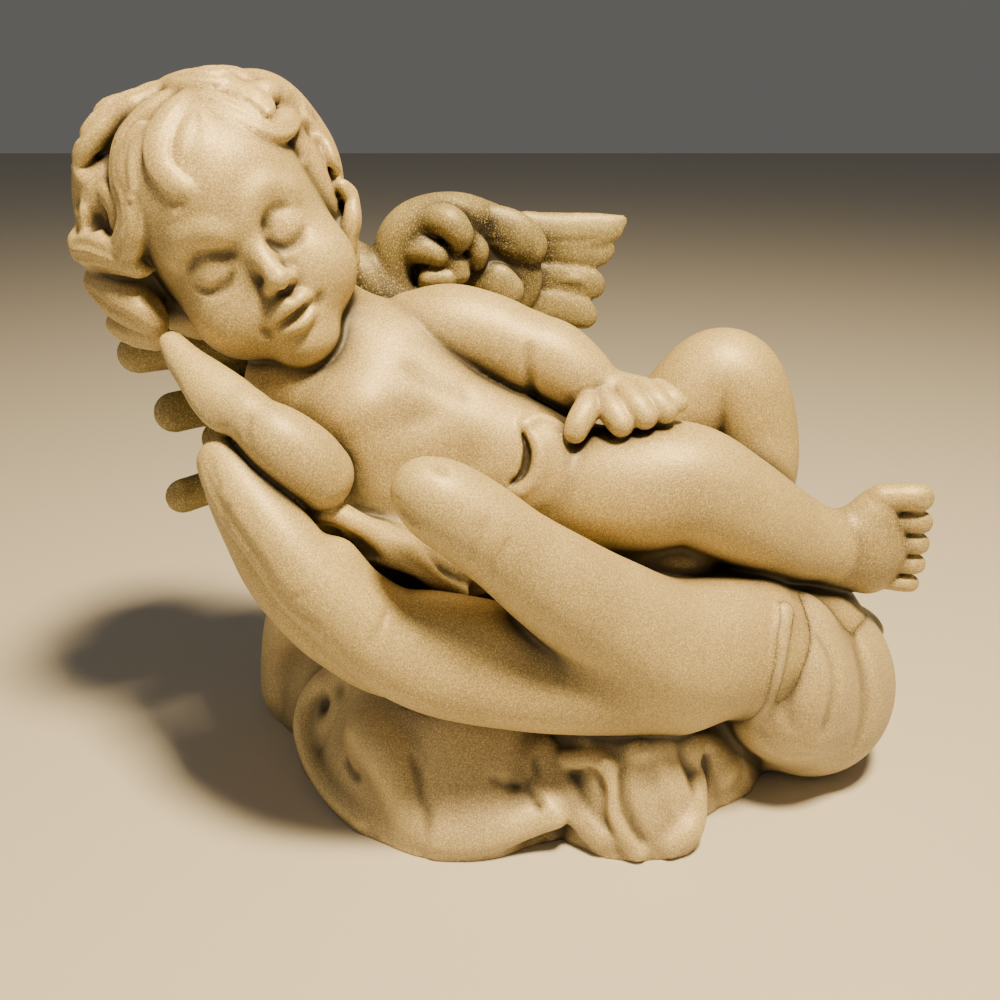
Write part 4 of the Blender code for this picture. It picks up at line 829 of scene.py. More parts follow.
@dataclass(frozen=True)
class Hair:
    """Loose curls swept from the crown, fuller on the side that hangs down.

    A lock is rows of (turn from the face, angle from the crown, height of its crest over the
    skull, half its width). The lowest locks come first, and the upper ones lie on them.
    """

    blend: float = 0.8
    tint: Tint = Tint.HAIR
    place: Place = HEAD
    skull: Row = (20.9, 25.0, 22.6)
    flat: float = 0.85
    # the shell under the locks, and the fuller sides, as (middle, radii)
    masses: Sequence[tuple[Row, Row]] = (
        ((0, 8, 4), (22.5, 21.5, 22.5)), ((-14, 8, -6), (13, 15, 17)), ((8, 10, -9), (15.5, 14, 18)),
        ((-17.4, -0.6, 13), (8, 8, 12)), ((-22.4, -2.4, 2), (6.6, 7.5, 12)),
        ((19, -1.4, 3), (7.2, 8.4, 17)), ((19.6, -1.6, 13.4), (7, 8, 8)),
    )
    # what the outer locks lie on, either side, as rows of (x, y, z, radius) in the head's own frame
    beds: Sequence[Rows] = (
        (
            (-6.8, 2, 26, 5), (-12.6, 2, 24.2, 5.2), (-16, 2.5, 21.8, 5.2), (-19, 2, 18, 5),
            (-22.2, 1, 14.2, 4.8), (-24.6, 0, 9, 4.8), (-26, 1, 3, 5),
        ),
        (
            (13, 0, 22, 5), (19.6, -1, 16.3, 5), (23.4, 0, 11.4, 5), (24.6, 2, 4.6, 5.2),
            (23.6, 2, -0.9, 5.4), (21.4, 2, -6.4, 5), (20.5, 3, -12.9, 4.8), (18.6, 3, -18.1, 4.4),
            (17, 3, -21.8, 4),
        ),
    )
    # big soft waves beside the cheek, as rows of (x, y, z, radius) in the head's own frame
    waves: Sequence[Rows] = (
        (
            (-33.5, 3.0, -7.2, 3.0), (-31.4, -1.0, -9.9, 3.8), (-29.2, -4.0, -12.2, 3.6),
            (-27.0, -6.0, -13.7, 2.8),
        ),
        (
            (-31.0, 0.0, 2.6, 3.4), (-29.6, -3.0, -0.2, 4.8), (-28.0, -6.0, -3.5, 5.4),
            (-26.6, -8.5, -6.8, 4.8), (-25.6, -9.5, -9.8, 3.4),
        ),
        (
            (-28.7, -1.0, 10.8, 3.4), (-27.8, -3.5, 8.8, 4.4), (-25.1, -7.5, 7.1, 4.6),
            (-23.0, -11.0, 4.5, 4.0), (-21.6, -13.0, 1.8, 3.0), (-20.6, -13.0, -0.8, 2.0),
        ),
    )
    locks: Sequence[Rows] = (
        # the side of the head: its edge, the sweep over it, and the strands round the pocket
        (
            (-31, 16, 6.4, 4.4), (-56, 22, 8.2, 4.4), (-64, 31, 9.0, 4), (-70, 39, 9.4, 3.4),
            (-76, 46, 9.4, 2.8), (-72, 52, 7.8, 2),
        ),
        (
            (-77, 51, 5.6, 2.4), (-79, 58, 7, 2.2), (-75, 65, 8.8, 2.2), (-78, 71, 9.6, 2.2),
            (-77, 76, 9.4, 2),
        ),
        (
            (52, 19, 3.8, 3.6), (9, 12, 5.2, 4), (-42, 17, 6.2, 4), (-61, 26, 6.4, 3.8),
            (-76, 35, 6.2, 3.6), (-78, 45, 5.8, 3.2), (-77, 55, 5.4, 2.6),
        ),
        (
            (-74, 53, 4.6, 2.4), (-57, 63, 4.8, 2.3), (-54, 71, 5, 2.3), (-61, 77, 5, 2.2),
            (-80, 78, 5.4, 1.8),
        ),
        (
            (35, 30, 3.6, 3.4), (-1, 28, 4, 3.8), (-30, 35, 4.2, 4), (-39, 46, 4.4, 4),
            (-42, 58, 4.6, 4), (-41, 69, 5, 3.8), (-44, 78, 5.8, 4), (-53, 85, 6.8, 4.2),
            (-66, 87, 7.4, 3.6),
        ),
        (
            (-16, 41, 4.4, 1.8), (-31, 47, 4.8, 1.7), (-37, 56, 5.2, 1.5), (-37, 65, 5.2, 1.2),
            (-36, 70, 5, 0.7),
        ),
        ((-9, 45, 4.2, 1.8), (-24, 51, 4.4, 1.7), (-30, 59, 4.6, 1.4), (-33, 67, 4.6, 0.9)),
        # the forehead: two strands and the hooked curl
        ((20, 49, 4, 2.4), (7, 58, 4.4, 2.2), (-2, 65, 4.2, 1.9), (-7, 73, 3, 0.9)),
        (
            (27, 46, 3.8, 2.8), (18, 58, 4.4, 2.8), (10, 66, 4.6, 2.5), (2, 71, 4.2, 1.9),
            (-6, 73, 3, 0.9),
        ),
        (
            (31, 39, 4, 3.4), (10, 44, 5, 3.4), (-4, 51, 5.8, 3.2), (-11, 58, 6.2, 2.9),
            (-14, 65, 6.2, 2.7), (-13, 73, 6, 2.5), (-10, 79, 5.6, 2.2), (-11, 83, 4.8, 1.6),
            (-15, 85, 4.2, 1.1), (-21, 84, 3.8, 0.8),
        ),
        # behind the temple on the high side, down to the neck
        (
            (76, 111, 8.6, 2.4), (78, 118, 10.4, 2.8), (74, 125, 11, 3), (73, 132, 10.6, 2.8),
            (72, 139, 10.2, 1.8),
        ),
        ((77, 119, 3.8, 1.6), (76, 126, 5.2, 1.8), (73, 130, 8.2, 2.4), (71, 135, 9.6, 2.2)),
        (
            (76, 74, 7.6, 3), (78, 83, 8, 3.2), (79, 92, 8.8, 3), (76, 99, 9, 2.8), (79, 106, 8, 2.6),
            (79, 113, 6.6, 2.4), (75, 120, 6, 2.2), (74, 129, 5.6, 1.2),
        ),
        ((65, 84, 3.2, 2.2), (68, 89, 3.8, 2.1), (68, 93, 3.2, 1.5), (61, 95, 2.4, 0.8)),
        (
            (66, 81, 3.6, 2.4), (76, 82, 4.8, 2.4), (78, 86, 6.6, 2.2), (79, 92, 7.8, 2.2),
            (77, 97, 7.4, 2.2), (78, 103, 5.8, 2.2), (75, 109, 3.6, 1.8), (75, 115, 3, 1.1),
        ),
        # the top of the head, and the roll over the forehead with the flap on it
        ((52, 19, 5, 4), (47, 31, 6, 4.6), (51, 42, 7.4, 5), (63, 48, 7.6, 4.8), (66, 54, 7, 4)),
        (
            (29, 38, 3.6, 3), (36, 49, 4.8, 4), (40, 60, 5.4, 4.2), (44, 71, 6, 3.9),
            (51, 76, 6.4, 3.5), (64, 76, 6.8, 2.9), (76, 72, 7, 2.2), (77, 68, 6.8, 1.4),
        ),
        (
            (50, 40, 5.4, 3.6), (52, 52, 6.6, 3.8), (52, 61, 7.6, 3.6), (50, 67, 7.8, 2.6),
            (46, 71, 7.2, 1.2),
        ),
        ((59, 60, 7.4, 2.8), (63, 63, 8.4, 2.7), (76, 64, 8.4, 2.3), (72, 68, 7.8, 1.5)),
    )
    # tiers of locks round the back: rows of (upper angle from the crown, lower one, locks)
    back_tiers: Rows = ((92, 134, 6), (58, 106, 7), (10, 74, 6))
    back_start: float = 112.0  # where a tier starts, in degrees round from the face
    back_sweep: float = 146.0
    sway: float = 10.0
    # grooves in front of and inside the side locks, and a ridge on the lowest wave
    pocket: Rows = ((-22.8, -7.5, 13.6, 1.5), (-24.4, -6.5, 11.6, 1.7))
    valley: Rows = (
        (-10.2, -17, 14.4, 1.6), (-13.1, -18, 8.8, 1.8), (-16.5, -17, 3.3, 2), (-19.2, -15.5, -2.2, 2),
        (-20.6, -13, -7.6, 2), (-21, -11, -12.1, 1.8),
    )
    wave_ridge: Rows = (
        (-29.9, -5, -6.7, 0.8), (-30, -6, -9.9, 0.8), (-28.9, -7, -12.7, 0.8), (-27.1, -8, -14.2, 0.8),
    )

    def over_skull(self, lock: Rows) -> list[tuple[float, ...]]:
        """Lays a lock over the skull.

        Args:
            lock: its rows, as the class says.

        Returns:
            Rows of (x, y, z, radius) in the figure's own frame.
        """
        middle, axes = self.place.at(0, 3, 3), self.place.axes
        path = []
        for turn, down, crest, radius in lock:
            a, b = np.radians(turn), np.radians(down)
            way = vec(np.sin(b) * np.sin(a), -np.sin(b) * np.cos(a), np.cos(b))
            lift = crest - 0.9 * self.flat * radius
            path.append((*(middle + axes @ (way * np.array(self.skull) + way * lift)), radius))
        return path

    def outward(self, point: np.ndarray) -> np.ndarray:
        """The way out from the middle of the head."""
        return unit(point - self.place.at(0, 3, 3))

    def add_lock(self, clay: Clay, lock: Rows) -> None:
        """Adds one lock and combs grooves along it.

        Args:
            clay: the clay that is worked.
            lock: its rows, as the class says.
        """
        path = self.over_skull(lock)
        clay.roll(path, 0.6, flat=self.flat, facing=self.outward, spans=7)
        if len(lock) >= 5:
            self.comb(clay, path)

    def back_lock(self, turn: float, sway: float, upper: float, drop: float) -> Rows:
        """One wavy lock of the back.

        Args:
            turn: its angle round from the face.
            sway: how far it waves to either side, in degrees.
            upper: where it starts, in degrees from the crown.
            drop: how many degrees it hangs down.

        Returns:
            The lock, in rows as the class says.
        """
        return [
            (turn - 0.3 * sway, upper, 3, 4.5),
            (turn + 0.7 * sway, upper + 0.3 * drop, 5, 6.2),
            (turn - 0.4 * sway, upper + 0.62 * drop, 6, 6.4),
            (turn - 0.9 * sway, upper + 0.86 * drop, 5.6, 4.6),
            (turn + 0.2 * sway, upper + drop, 4, 2.6),
        ]

    def comb(self, clay: Clay, path: Rows) -> None:
        """Draws the strands of a lock as grooves along it.

        Args:
            clay: the clay that is worked.
            path: the lock as rows of (x, y, z, radius) in the figure's own frame.
        """
        curve = spline(path, 4)
        ahead = np.gradient(curve[:, :3], axis=0)
        for share in (-0.55, 0.0, 0.5) if curve[:, 3].max() > 2.9 else (-0.35, 0.3):
            groove = []
            for point, way, radius in zip(curve[:, :3], ahead, curve[:, 3]):
                out = self.outward(point)
                side = unit(np.cross(way, out))
                spot = point + side * share * radius + out * radius * self.flat * 0.9
                groove.append((*spot, 0.85))
            clay.stroke(groove[2:-1], 1.1, spans=2)

    def shape(self, clay: Clay) -> None:
        """Adds the hair's own mass, the locks round the back and the named ones.

        Args:
            clay: the clay that is worked.
        """
        face, axes = self.place, self.place.axes
        for number, (centre, radii) in enumerate(self.masses):
            clay.mass(face.at(*centre), radii, axes, 4.0 if number else 0.0)
        for bed in self.beds:
            clay.roll(face.path(bed), 4, spans=5)
        for upper, lower, count in self.back_tiers:
            for i in range(int(count)):
                turn = self.back_start + self.back_sweep * (i + 0.5 * (count % 2)) / count
                sway = self.sway if (i + count) % 2 else -self.sway
                self.add_lock(clay, self.back_lock(turn, sway, upper, lower - upper))
        for wave in self.waves:
            clay.roll(face.path(wave), 1.6, spans=7)
            self.comb(clay, face.path(wave))
        for lock in self.locks:
            self.add_lock(clay, lock)
        clay.stroke(face.path(self.pocket), 2.2)
        clay.stroke(face.path(self.valley), 1.6)
        clay.stroke(face.path(self.wave_ridge), -0.7)


# ---------------------------------------------------------------- wings


@dataclass(frozen=True)
class Wings:
    """Half-open wings: the left one shows above the arm, the right one behind the fingers."""

    blend: float = 1.5
    tint: Tint = Tint.WING
    front: Row = (0.0, -1.0, 0.12)
    # leading edge of the left wing, curled over at the shoulder
    edge: Rows = (
        (-27.4, 24, 118, 5), (-26.6, 24, 125.5, 5.4), (-25, 24.5, 131, 6), (-21.5, 25, 134.6, 6.2),
        (-16, 26, 136.4, 6.2), (-9.6, 28, 136.8, 5.6), (-2.5, 31, 135, 4.8),
    )
    # the curled knobs inside it
    knobs: Sequence[Rows] = (
        (
            (-17.4, 22.5, 136.4, 4), (-12.8, 20.5, 136.2, 4.2), (-10, 20, 133.4, 3.6),
            (-10.2, 20.6, 131, 2.4),
        ),
        ((-23.2, 22, 128.9, 3.2), (-18.9, 20.5, 129.6, 3.5), (-15.3, 20, 128.4, 3)),
        ((-7.4, 23.5, 131.4, 2.8), (-5.7, 23.5, 129.1, 3), (-5.9, 24, 126.4, 2.6)),
        ((-13.1, 22, 126.4, 2.8), (-10.8, 21.5, 126.1, 2.8), (-10, 21.5, 123.6, 2.6)),
        ((-17.6, 20.5, 122.6, 2.8), (-13.1, 20, 122.6, 2.4)),
    )
    # rows of (x, y, z, half width) along its long feathers, from the lowest
    long_feathers: Sequence[Rows] = (
        ((5.3, 32, 114, 3.6), (13.2, 33, 113.4, 4.6), (19.6, 33.5, 112, 4.6), (22.4, 33.5, 110.6, 3.6)),
        ((8.8, 34, 120.6, 4.2), (15.8, 34.5, 120.2, 4.4), (23, 35, 118.8, 4.2), (24.4, 35, 118, 3.4)),
        (
            (10.4, 34.6, 128, 3.4), (19.1, 35.6, 127, 3.6), (25.2, 36.4, 125.8, 3.2),
            (28.2, 37, 127.4, 2.2),
        ),
        ((6.9, 35, 131.3, 6), (15.6, 36, 131, 5.4), (24.4, 37, 131.6, 4.6), (29, 37.6, 132.6, 3.4)),
        ((12.1, 36.5, 134.3, 2.6), (24.3, 37.6, 134.2, 2.4), (31.6, 38.2, 134.2, 1.8)),
    )
    # and of the broad ones that lie on their roots
    coverts: Sequence[Rows] = (
        ((-4.4, 25.5, 121.4, 3.8), (-0.8, 25, 121, 4.6), (1.8, 25, 118.8, 4.4)),
        ((-4.4, 29, 130.2, 5), (1.7, 29.6, 128.8, 5.4), (7.4, 30.6, 127, 4.2)),
        ((-7.5, 28, 134.4, 4.4), (-1.7, 28, 134, 5.6), (3.8, 28, 131.8, 6), (7.4, 28.5, 129.4, 4.8)),
    )
    # the right wing hangs behind the head
    right_arm: Rows = (
        (-30, 22, 110, 7), (-35, 23, 123, 7), (-46, 27, 125, 7), (-59, 24, 119, 6.6),
        (-68, 18, 112, 5.4),
    )
    right_front: Row = (0.35, -1.0, 0.1)
    # its feathers, as (root, tip, half width)
    right_feathers: Sequence[tuple[Row, Row, float]] = (
        ((-58, 18, 108), (-87.5, 6, 107), 4.8), ((-54, 21, 103), (-76, 12, 101), 4.8),
        ((-56, 16, 95), (-79, 2, 93.5), 5.0), ((-50, 18, 88), (-70, 7, 85), 4.8),
        ((-52, 12, 78), (-77.5, -4, 74), 4.3), ((-44, 15, 74), (-62, 6, 69), 4.4),
    )
    # grooves in the feathers, as rows of (x, y, z, width)
    veins: Sequence[Rows] = (
        [(-5.8, 24.6, 132.6, 0.6), (0, 24, 131, 0.6), (6.6, 24.4, 129.9, 0.6)],
        [(9.6, 31, 130.8, 0.6), (19, 32, 130, 0.6), (28, 33, 130.6, 0.6)],
        [(11, 32, 118.8, 0.6), (17, 32, 118.6, 0.6), (22, 32, 117.2, 0.6)],
    )
    # a chipped edge
    chip: Rows = ((17.6, 32, 120.2, 0.8), (20.6, 31.6, 120.4, 0.9), (23, 32, 119, 0.8))
    tiles: tuple[int, int] = (3, 4)  # columns and rows on the back of a wing

    def left_wing(self, clay: Clay) -> None:
        """Adds the wing above the arm.

        Args:
            clay: the clay that is worked.
        """
        clay.mass((-8, 31, 121), (19, 5.4, 15), blend=0)
        clay.mass((-14, 28, 127), (11, 6, 9), blend=3)
        clay.roll(self.edge, 2)
        for knob in self.knobs:
            clay.roll(knob, 0.7)
        for feather in self.long_feathers:
            clay.roll(feather, 0.4, flat=0.42, facing=self.front)
        for feather in self.coverts:
            clay.roll(feather, 0.4, flat=0.5, facing=self.front)
        for vein in self.veins:
            clay.stroke(vein, 0.4)
        clay.stroke(self.chip, -0.6)

    def right_wing(self, clay: Clay) -> None:
        """Adds the wing behind the fingers.

        Args:
            clay: the clay that is worked.
        """
        clay.roll(self.right_arm, 2)
        clay.mass((-50, 23, 106), (18, 5, 17), blend=3)
        clay.mass((-46, 18, 88), (14, 5, 14), blend=3)
        for root, tip, wide in self.right_feathers:
            clay.roll([(*root, wide), (*tip, wide)], 0.8, flat=0.5, facing=self.right_front)

    def tile_backs(self, clay: Clay) -> None:
        """Tiles the back of either wing with short feathers.

        Args:
            clay: the clay that is worked.
        """
        columns, rows = self.tiles
        for column in range(columns):
            for row in range(rows):
                x, z = -16 + 8.5 * column, 131 - 7.5 * row - 1.5 * column
                tile = [(x, 35, z, 4.4), (x + 9, 38.5, z - 2, 4.2)]
                clay.roll(tile, 0.6, flat=0.4, facing=self.front)
                x, z = -40 - 8 * column, 121 - 9 * row - 3 * column
                y = 28.5 - 3.5 * column - 1.5 * row
                tile = [(x, y, z, 5), (x - 9, y - 1.5, z - 4, 4.6)]
                clay.roll(tile, 0.6, flat=0.4, facing=self.right_front)

    def shape(self, clay: Clay) -> None:
        """Adds both wings and what joins them.

        Args:
            clay: the clay that is worked.
        """
        self.left_wing(clay)
        self.right_wing(clay)
        self.tile_backs(clay)
        # between the shoulder blades, and the tip of a feather behind the raised knee
        clay.mass((-28, 22, 104), (14, 8, 18), blend=4)
        clay.roll([(12, 26, 96, 5), (34, 24, 95, 4)], 1, flat=0.6, facing=self.front)


# ---------------------------------------------------------------- cloth


@dataclass(frozen=True)
class Drapery:
    """The cloth under the hand, spread over the ground as a low foot, and the sleeve."""

    blend: float = 0.0
    tint: Tint = Tint.CLOTH
    middle: Row = (5.0, -3.0)
    top: float = 42.0
    rise: float = 32.0  # how far in from its edge the cloth is at its full height
    back_folds: int = 7
    back_start: float = 12.0  # where they start, in degrees round from the right
    back_sweep: float = 150.0
    # round the edge of the cloth, from the left: rows of (x, y, height)
    hem: Rows = (
        (-53.5, -2.5, 13), (-54, -8, 9), (-52, -14, 5), (-48.5, -19.5, 3), (-42, -30, 2.5),
        (-35, -37.3, 2.5), (-27.5, -42.2, 2.5), (-20, -46.2, 2.5), (-15, -47.6, 2.5), (-5.6, -47.6, 3),
        (0, -46.6, 3), (6, -43.5, 3), (10, -42, 3), (14.9, -40.6, 2.5), (20.4, -44, 2.5),
        (25, -47, 2.5), (31.3, -47.8, 2.5), (38, -47.2, 2.5), (44, -45.8, 3), (47.5, -42.5, 4),
        (48, -38, 5), (50, -33, 4), (55, -29, 3), (64, -23, 4), (70, -10, 5), (70, 12, 5), (60, 28, 4),
        (38, 40, 4), (10, 43, 4), (-20, 41, 4), (-44, 36, 5), (-58, 29, 6), (-66, 21, 6), (-64, 11, 8),
        (-58, 3, 12),
    )
    # the rim that curls up on the left, what it springs from, and the hollow inside it
    rim_root: Rows = ((-50, -3, 9, 4), (-46, -2, 16, 4), (-38, -1, 20, 4))
    rim: Rows = (
        (-36, -4, 24.5, 2.6), (-41, -4, 24, 2.6), (-46.5, -4.6, 21.6, 2.6), (-50.6, -5, 16.5, 2.6),
        (-51.8, -9.5, 11.5, 2.6), (-49.6, -15.5, 7.6, 2.6), (-45.5, -22.5, 5, 2.6),
        (-40, -30, 3.6, 2.4), (-33, -36.5, 2.8, 2.2),
    )
    rim_hollows: Sequence[tuple[Row, float, float]] = (
        ((-45, -10, 17.4), 3.6, 3), ((-39, -11, 22.4), 4, 2.4),
    )
    # the round side of the left lobe
    left_lobe: Rows = (
        (-30, -24.4, 18.8, 7), (-25, -30.2, 17, 7), (-22.2, -36.3, 12.6, 6), (-20.3, -42.2, 7.4, 5),
    )
    # the edge of the middle lobe, up to its corner, as (rows, fillet)
    middle_lobe: Sequence[tuple[Rows, float]] = (
        (
            (
                (-12, -42, 5.4, 4), (-3, -41.4, 6.4, 4.2), (4, -40.6, 8, 4), (9, -40.6, 9.4, 3.4),
                (12.4, -42, 9.6, 2.4),
            ),
            5,
        ),
        (
            (
                (-14, -44.6, 4, 3), (-5, -45, 4.4, 3), (4, -43.8, 6.4, 2.8), (10, -43.4, 8.4, 2.6),
                (13.4, -43.8, 9.4, 2),
            ),
            3,
        ),
        (((6, -33, 17.6, 4), (8.6, -37, 14, 3.6), (11.4, -41, 11, 2.6)), 3),
    )
    # the sheet between two folds, the crisp fold beside it, the rim of the right lobe and the
    # fold that runs on under the sleeve, as (rows, rise over the cloth, fillet)
    right_folds: Sequence[tuple[Rows, float, float]] = (
        (
            (
                (13.4, -29.7, 17.6, 5.5), (14.9, -34.1, 12.9, 5.5), (18, -38.8, 8.6, 5),
                (22.6, -44, 4.9, 4.2),
            ),
            -3.4,
            2.5,
        ),
        (
            (
                (19.7, -33.6, 20, 2.4), (23.8, -35.2, 19.5, 2.6), (26, -38, 15.9, 2.4),
                (26.4, -41.6, 10.9, 2.4), (28.9, -44.7, 6.5, 2.6), (31.9, -46.6, 2.5, 2.6),
            ),
            -0.6,
            1.5,
        ),
        (
            (
                (31.9, -33.9, 21.4, 3), (38.3, -30, 19, 3.4), (44.4, -29.5, 12.7, 3.6),
                (45.4, -34, 8.7, 3.6), (43.7, -41.7, 5.6, 3.6), (39.7, -44.3, 3.3, 3),
            ),
            -0.8,
            2.5,
        ),
        (((45, -30, 20, 4), (52, -27, 17, 4), (56, -26, 9, 4)), -2.4, 3),
    )
    # one fold of the back, from the top: rows of (out from the middle, height, radius)
    back_ridge: Rows = ((24, 38, 5), (33, 26, 6), (40, 14, 6), (44, 5, 5))
    # creases between the folds, as (rows of (x, y, z, width), depth)
    creases: Sequence[tuple[Rows, float]] = (
        (
            (
                (-19, -31.4, 18.8, 1.4), (-16.9, -36.5, 14.8, 1.4), (-16.7, -41.8, 9, 1.4),
                (-15.9, -47, 3.5, 1.4),
            ),
            1.1,
        ),
        (
            (
                (4.6, -31, 18.5, 1.3), (5.8, -34.7, 13.3, 1.3), (9.9, -37.8, 8.6, 1.3),
                (14.4, -40.4, 6.4, 1.3), (18.5, -43.4, 4, 1.3),
            ),
            1.1,
        ),
        (
            (
                (21.2, -36, 17.3, 1.3), (23.1, -38.9, 13.6, 1.3), (24.3, -42.2, 9.4, 1.3),
                (25.7, -45.3, 5, 1.3),
            ),
            1.4,
        ),
        (
            (
                (28.9, -35.8, 19.2, 1.6), (29.6, -40, 13.5, 1.6), (31.3, -43.9, 7.8, 1.6),
                (33.5, -46.8, 3.3, 1.6),
            ),
            1.8,
        ),
        (((46, -28, 19, 1.7), (49, -29.5, 12, 1.7), (50.4, -32.5, 5.5, 1.7)), 2.4),
        (
            (
                (-35.8, -25, 12.6, 1.1), (-35.2, -27.4, 11.4, 1.1), (-33.6, -29.6, 10.8, 1.1),
                (-31.6, -30.8, 10.8, 1.1),
            ),
            1.5,
        ),
        (((-3.6, -36.6, 16.1, 1.2), (-0.3, -37.2, 15.1, 1.2), (2.8, -36.8, 13.5, 1.2)), 0.9),
    )
    lobe_hollows: Sequence[tuple[Row, float, float]] = (
        ((35.4, -38, 16), 4.6, 2), ((38.6, -41, 11), 3.4, 1.2),
    )
    # the bunched sleeve
    sleeve_cover: Rows = ((70, -18, 42, 12), (70, -21, 35, 14.5), (71, -19, 27, 16))
    cuff: Rows = (
        (65, -27, 54, 2.6), (62.8, -32, 49.6, 3), (61.4, -34.4, 43.8, 3.2), (61, -33.6, 37.8, 3.2),
        (61.4, -29.6, 30, 3.2), (63.6, -24, 22, 3),
    )
    sleeve_folds: Sequence[tuple[Rows, float]] = (
        (
            (
                (66.4, -35, 42.6, 1.2), (66.6, -35, 39.8, 1.9), (67.5, -33, 33.3, 2.4),
                (69.1, -31, 27, 1.8),
            ),
            1.3,
        ),
        (
            (
                (73.1, -27, 49, 1.2), (75.2, -28, 42, 1.5), (75.4, -30, 35.1, 1.6),
                (75.1, -31, 30, 1.5), (74.8, -31, 24, 1.1),
            ),
            1.5,
        ),
        (((86, -14, 44, 2.4), (87, -24, 30, 2.4), (86, -25, 14, 2.4)), 1),
        (((62, -30, 26, 2), (67, -30, 22, 2.2), (74, -30, 20, 2.2)), 0.8),
    )
    # the lip of cloth under the foot, and behind, where the cloth climbs to the fingers
    foot_lip: Rows = ((60, -4, 48, 9), (74, -3, 43.5, 10), (88, 1, 39, 9), (97, 4, 35, 6))
    climb: Rows = ((-61, 19, 6, 8), (-59, 17, 20, 8.5), (-54, 13, 33, 9.5), (-45, 8, 48, 10))

    def height(self, x: np.ndarray, y: np.ndarray) -> tuple[np.ndarray, np.ndarray]:
        """Works out how high the cloth stands.

        Args:
            x: places from left to right.
            y: places from front to back.

        Returns:
            The heights, and how far the places are past the edge.
        """
        hem = np.array(self.hem, float)
        off = hem[:, :2] - np.array(self.middle)
        turns = np.degrees(np.arctan2(off[:, 1], off[:, 0]))
        outs = np.hypot(off[:, 0], off[:, 1])
        turn = np.degrees(np.arctan2(y - self.middle[1], x - self.middle[0]))
        out = np.hypot(x - self.middle[0], y - self.middle[1])
        order = np.argsort(turns)
        edge = np.interp(turn, turns[order], outs[order], period=360)
        lift = np.interp(turn, turns[order], hem[order, 2], period=360)
        inward = np.clip((edge - out) / self.rise, 0.0, 1.0)
        return lift + (self.top - lift) * inward * (2.0 - inward), out - edge

    def spread(self, clay: Clay) -> None:
        """Adds the cloth that lies on the ground, and the rim that curls up on the left.

        Args:
            clay: the clay that is worked.
        """
        cut, (x, y, z) = clay.window(clay.low, (clay.high[0], clay.high[1], 60))
        top, beyond = self.height(x, y)
        clay.join(cut, -soft_min(-0.6 * (z - top), -0.9 * beyond, 5.0), 0)
        clay.roll(self.rim_root, 4)
        clay.roll(self.rim, 2.5)
        for centre, width, depth in self.rim_hollows:
            clay.dent(centre, width, depth)

    def fold(self, clay: Clay) -> None:
        """Adds the lobes and folds in front, and those behind.

        Args:
            clay: the clay that is worked.
        """
        clay.roll(clay.settle(self.left_lobe, -3.8), 4)
        for edge, blend in self.middle_lobe:
            clay.roll(edge, blend)
        clay.mass((7.6, -36, 10), (6, 5, 6), blend=3)
        for ridge, rise, blend in self.right_folds:
            clay.roll(clay.settle(ridge, rise), blend)
        for i in range(self.back_folds):
            turn = np.radians(self.back_start + self.back_sweep * (i + 0.5) / self.back_folds)
            ridge = []
            for out, height, radius in self.back_ridge:
                lean = turn + np.radians(5) * (-1) ** i * (out - 24) / 20
                across = self.middle[0] + 1.35 * out * np.cos(lean)
                ridge.append((across, self.middle[1] + out * np.sin(lean), height, radius))
            clay.roll(clay.settle(ridge, -2.6), 3)
        for crease, depth in self.creases:
            clay.stroke(crease, depth)
        for centre, width, depth in self.lobe_hollows:
            clay.dent(centre, width, depth)

    def bunch_sleeve(self, clay: Clay) -> None:
        """Adds the sleeve, its cuff round the wrist, its folds, and the cloth that climbs behind.

        Args:
            clay: the clay that is worked.
        """
        clay.mass((80, -4, 22), (22.5, 25, 25), blend=6)
        clay.mass((72, -8, 28), (11, 22, 22), blend=5)
        clay.roll(self.sleeve_cover, 5)
        clay.roll(self.cuff, 1.5)
        for fold, depth in self.sleeve_folds:
            clay.stroke(fold, depth)
        clay.dent((74.7, -30.5, 26), 1.2, -0.6)
        clay.roll(self.foot_lip, 1.5, flat=0.4, facing=(0.3, -0.2, 1))
        clay.roll(self.climb, 6)

    def shape(self, clay: Clay) -> None:
        """Adds the spread cloth, its folds and the sleeve, in that order.

        Args:
            clay: the clay that is worked.
        """
        self.spread(clay)
        self.fold(clay)
        self.bunch_sleeve(clay)


# ---------------------------------------------------------------- finish


def linear(hex_colour: str) -> tuple[float, float, float, float]:
    """An sRGB hex colour as linear RGBA."""
    values = [int(hex_colour[i : i + 2], 16) / 255 for i in (1, 3, 5)]
    return (*[v / 12.92 if v <= 0.04045 else ((v + 0.055) / 1.055) ** 2.4 for v in values], 1.0)


def add_node(tree: bpy.types.NodeTree, kind: str, links: dict, **settings: object) -> bpy.types.Node:
    """Adds a node.

    Args:
        tree: where it goes.
        kind: the node's bl_idname.
        links: input name or number to an output socket or to a value.
        settings: properties of the node.

    Returns:
        The node.
    """
    node = tree.nodes.new(kind)
    for name, value in settings.items():
        setattr(node, name, value)
    for socket, value in links.items():
        if isinstance(value, bpy.types.NodeSocket):
            tree.links.new(value, node.inputs[socket])
        else:
            node.inputs[socket].default_value = value
    return node


@dataclass(frozen=True)
class Coat:
    """A colour over the others: none of it where a pattern is at start, most of it at end."""

    pattern: str
    start: float
    end: float
    most: float
    colour: str


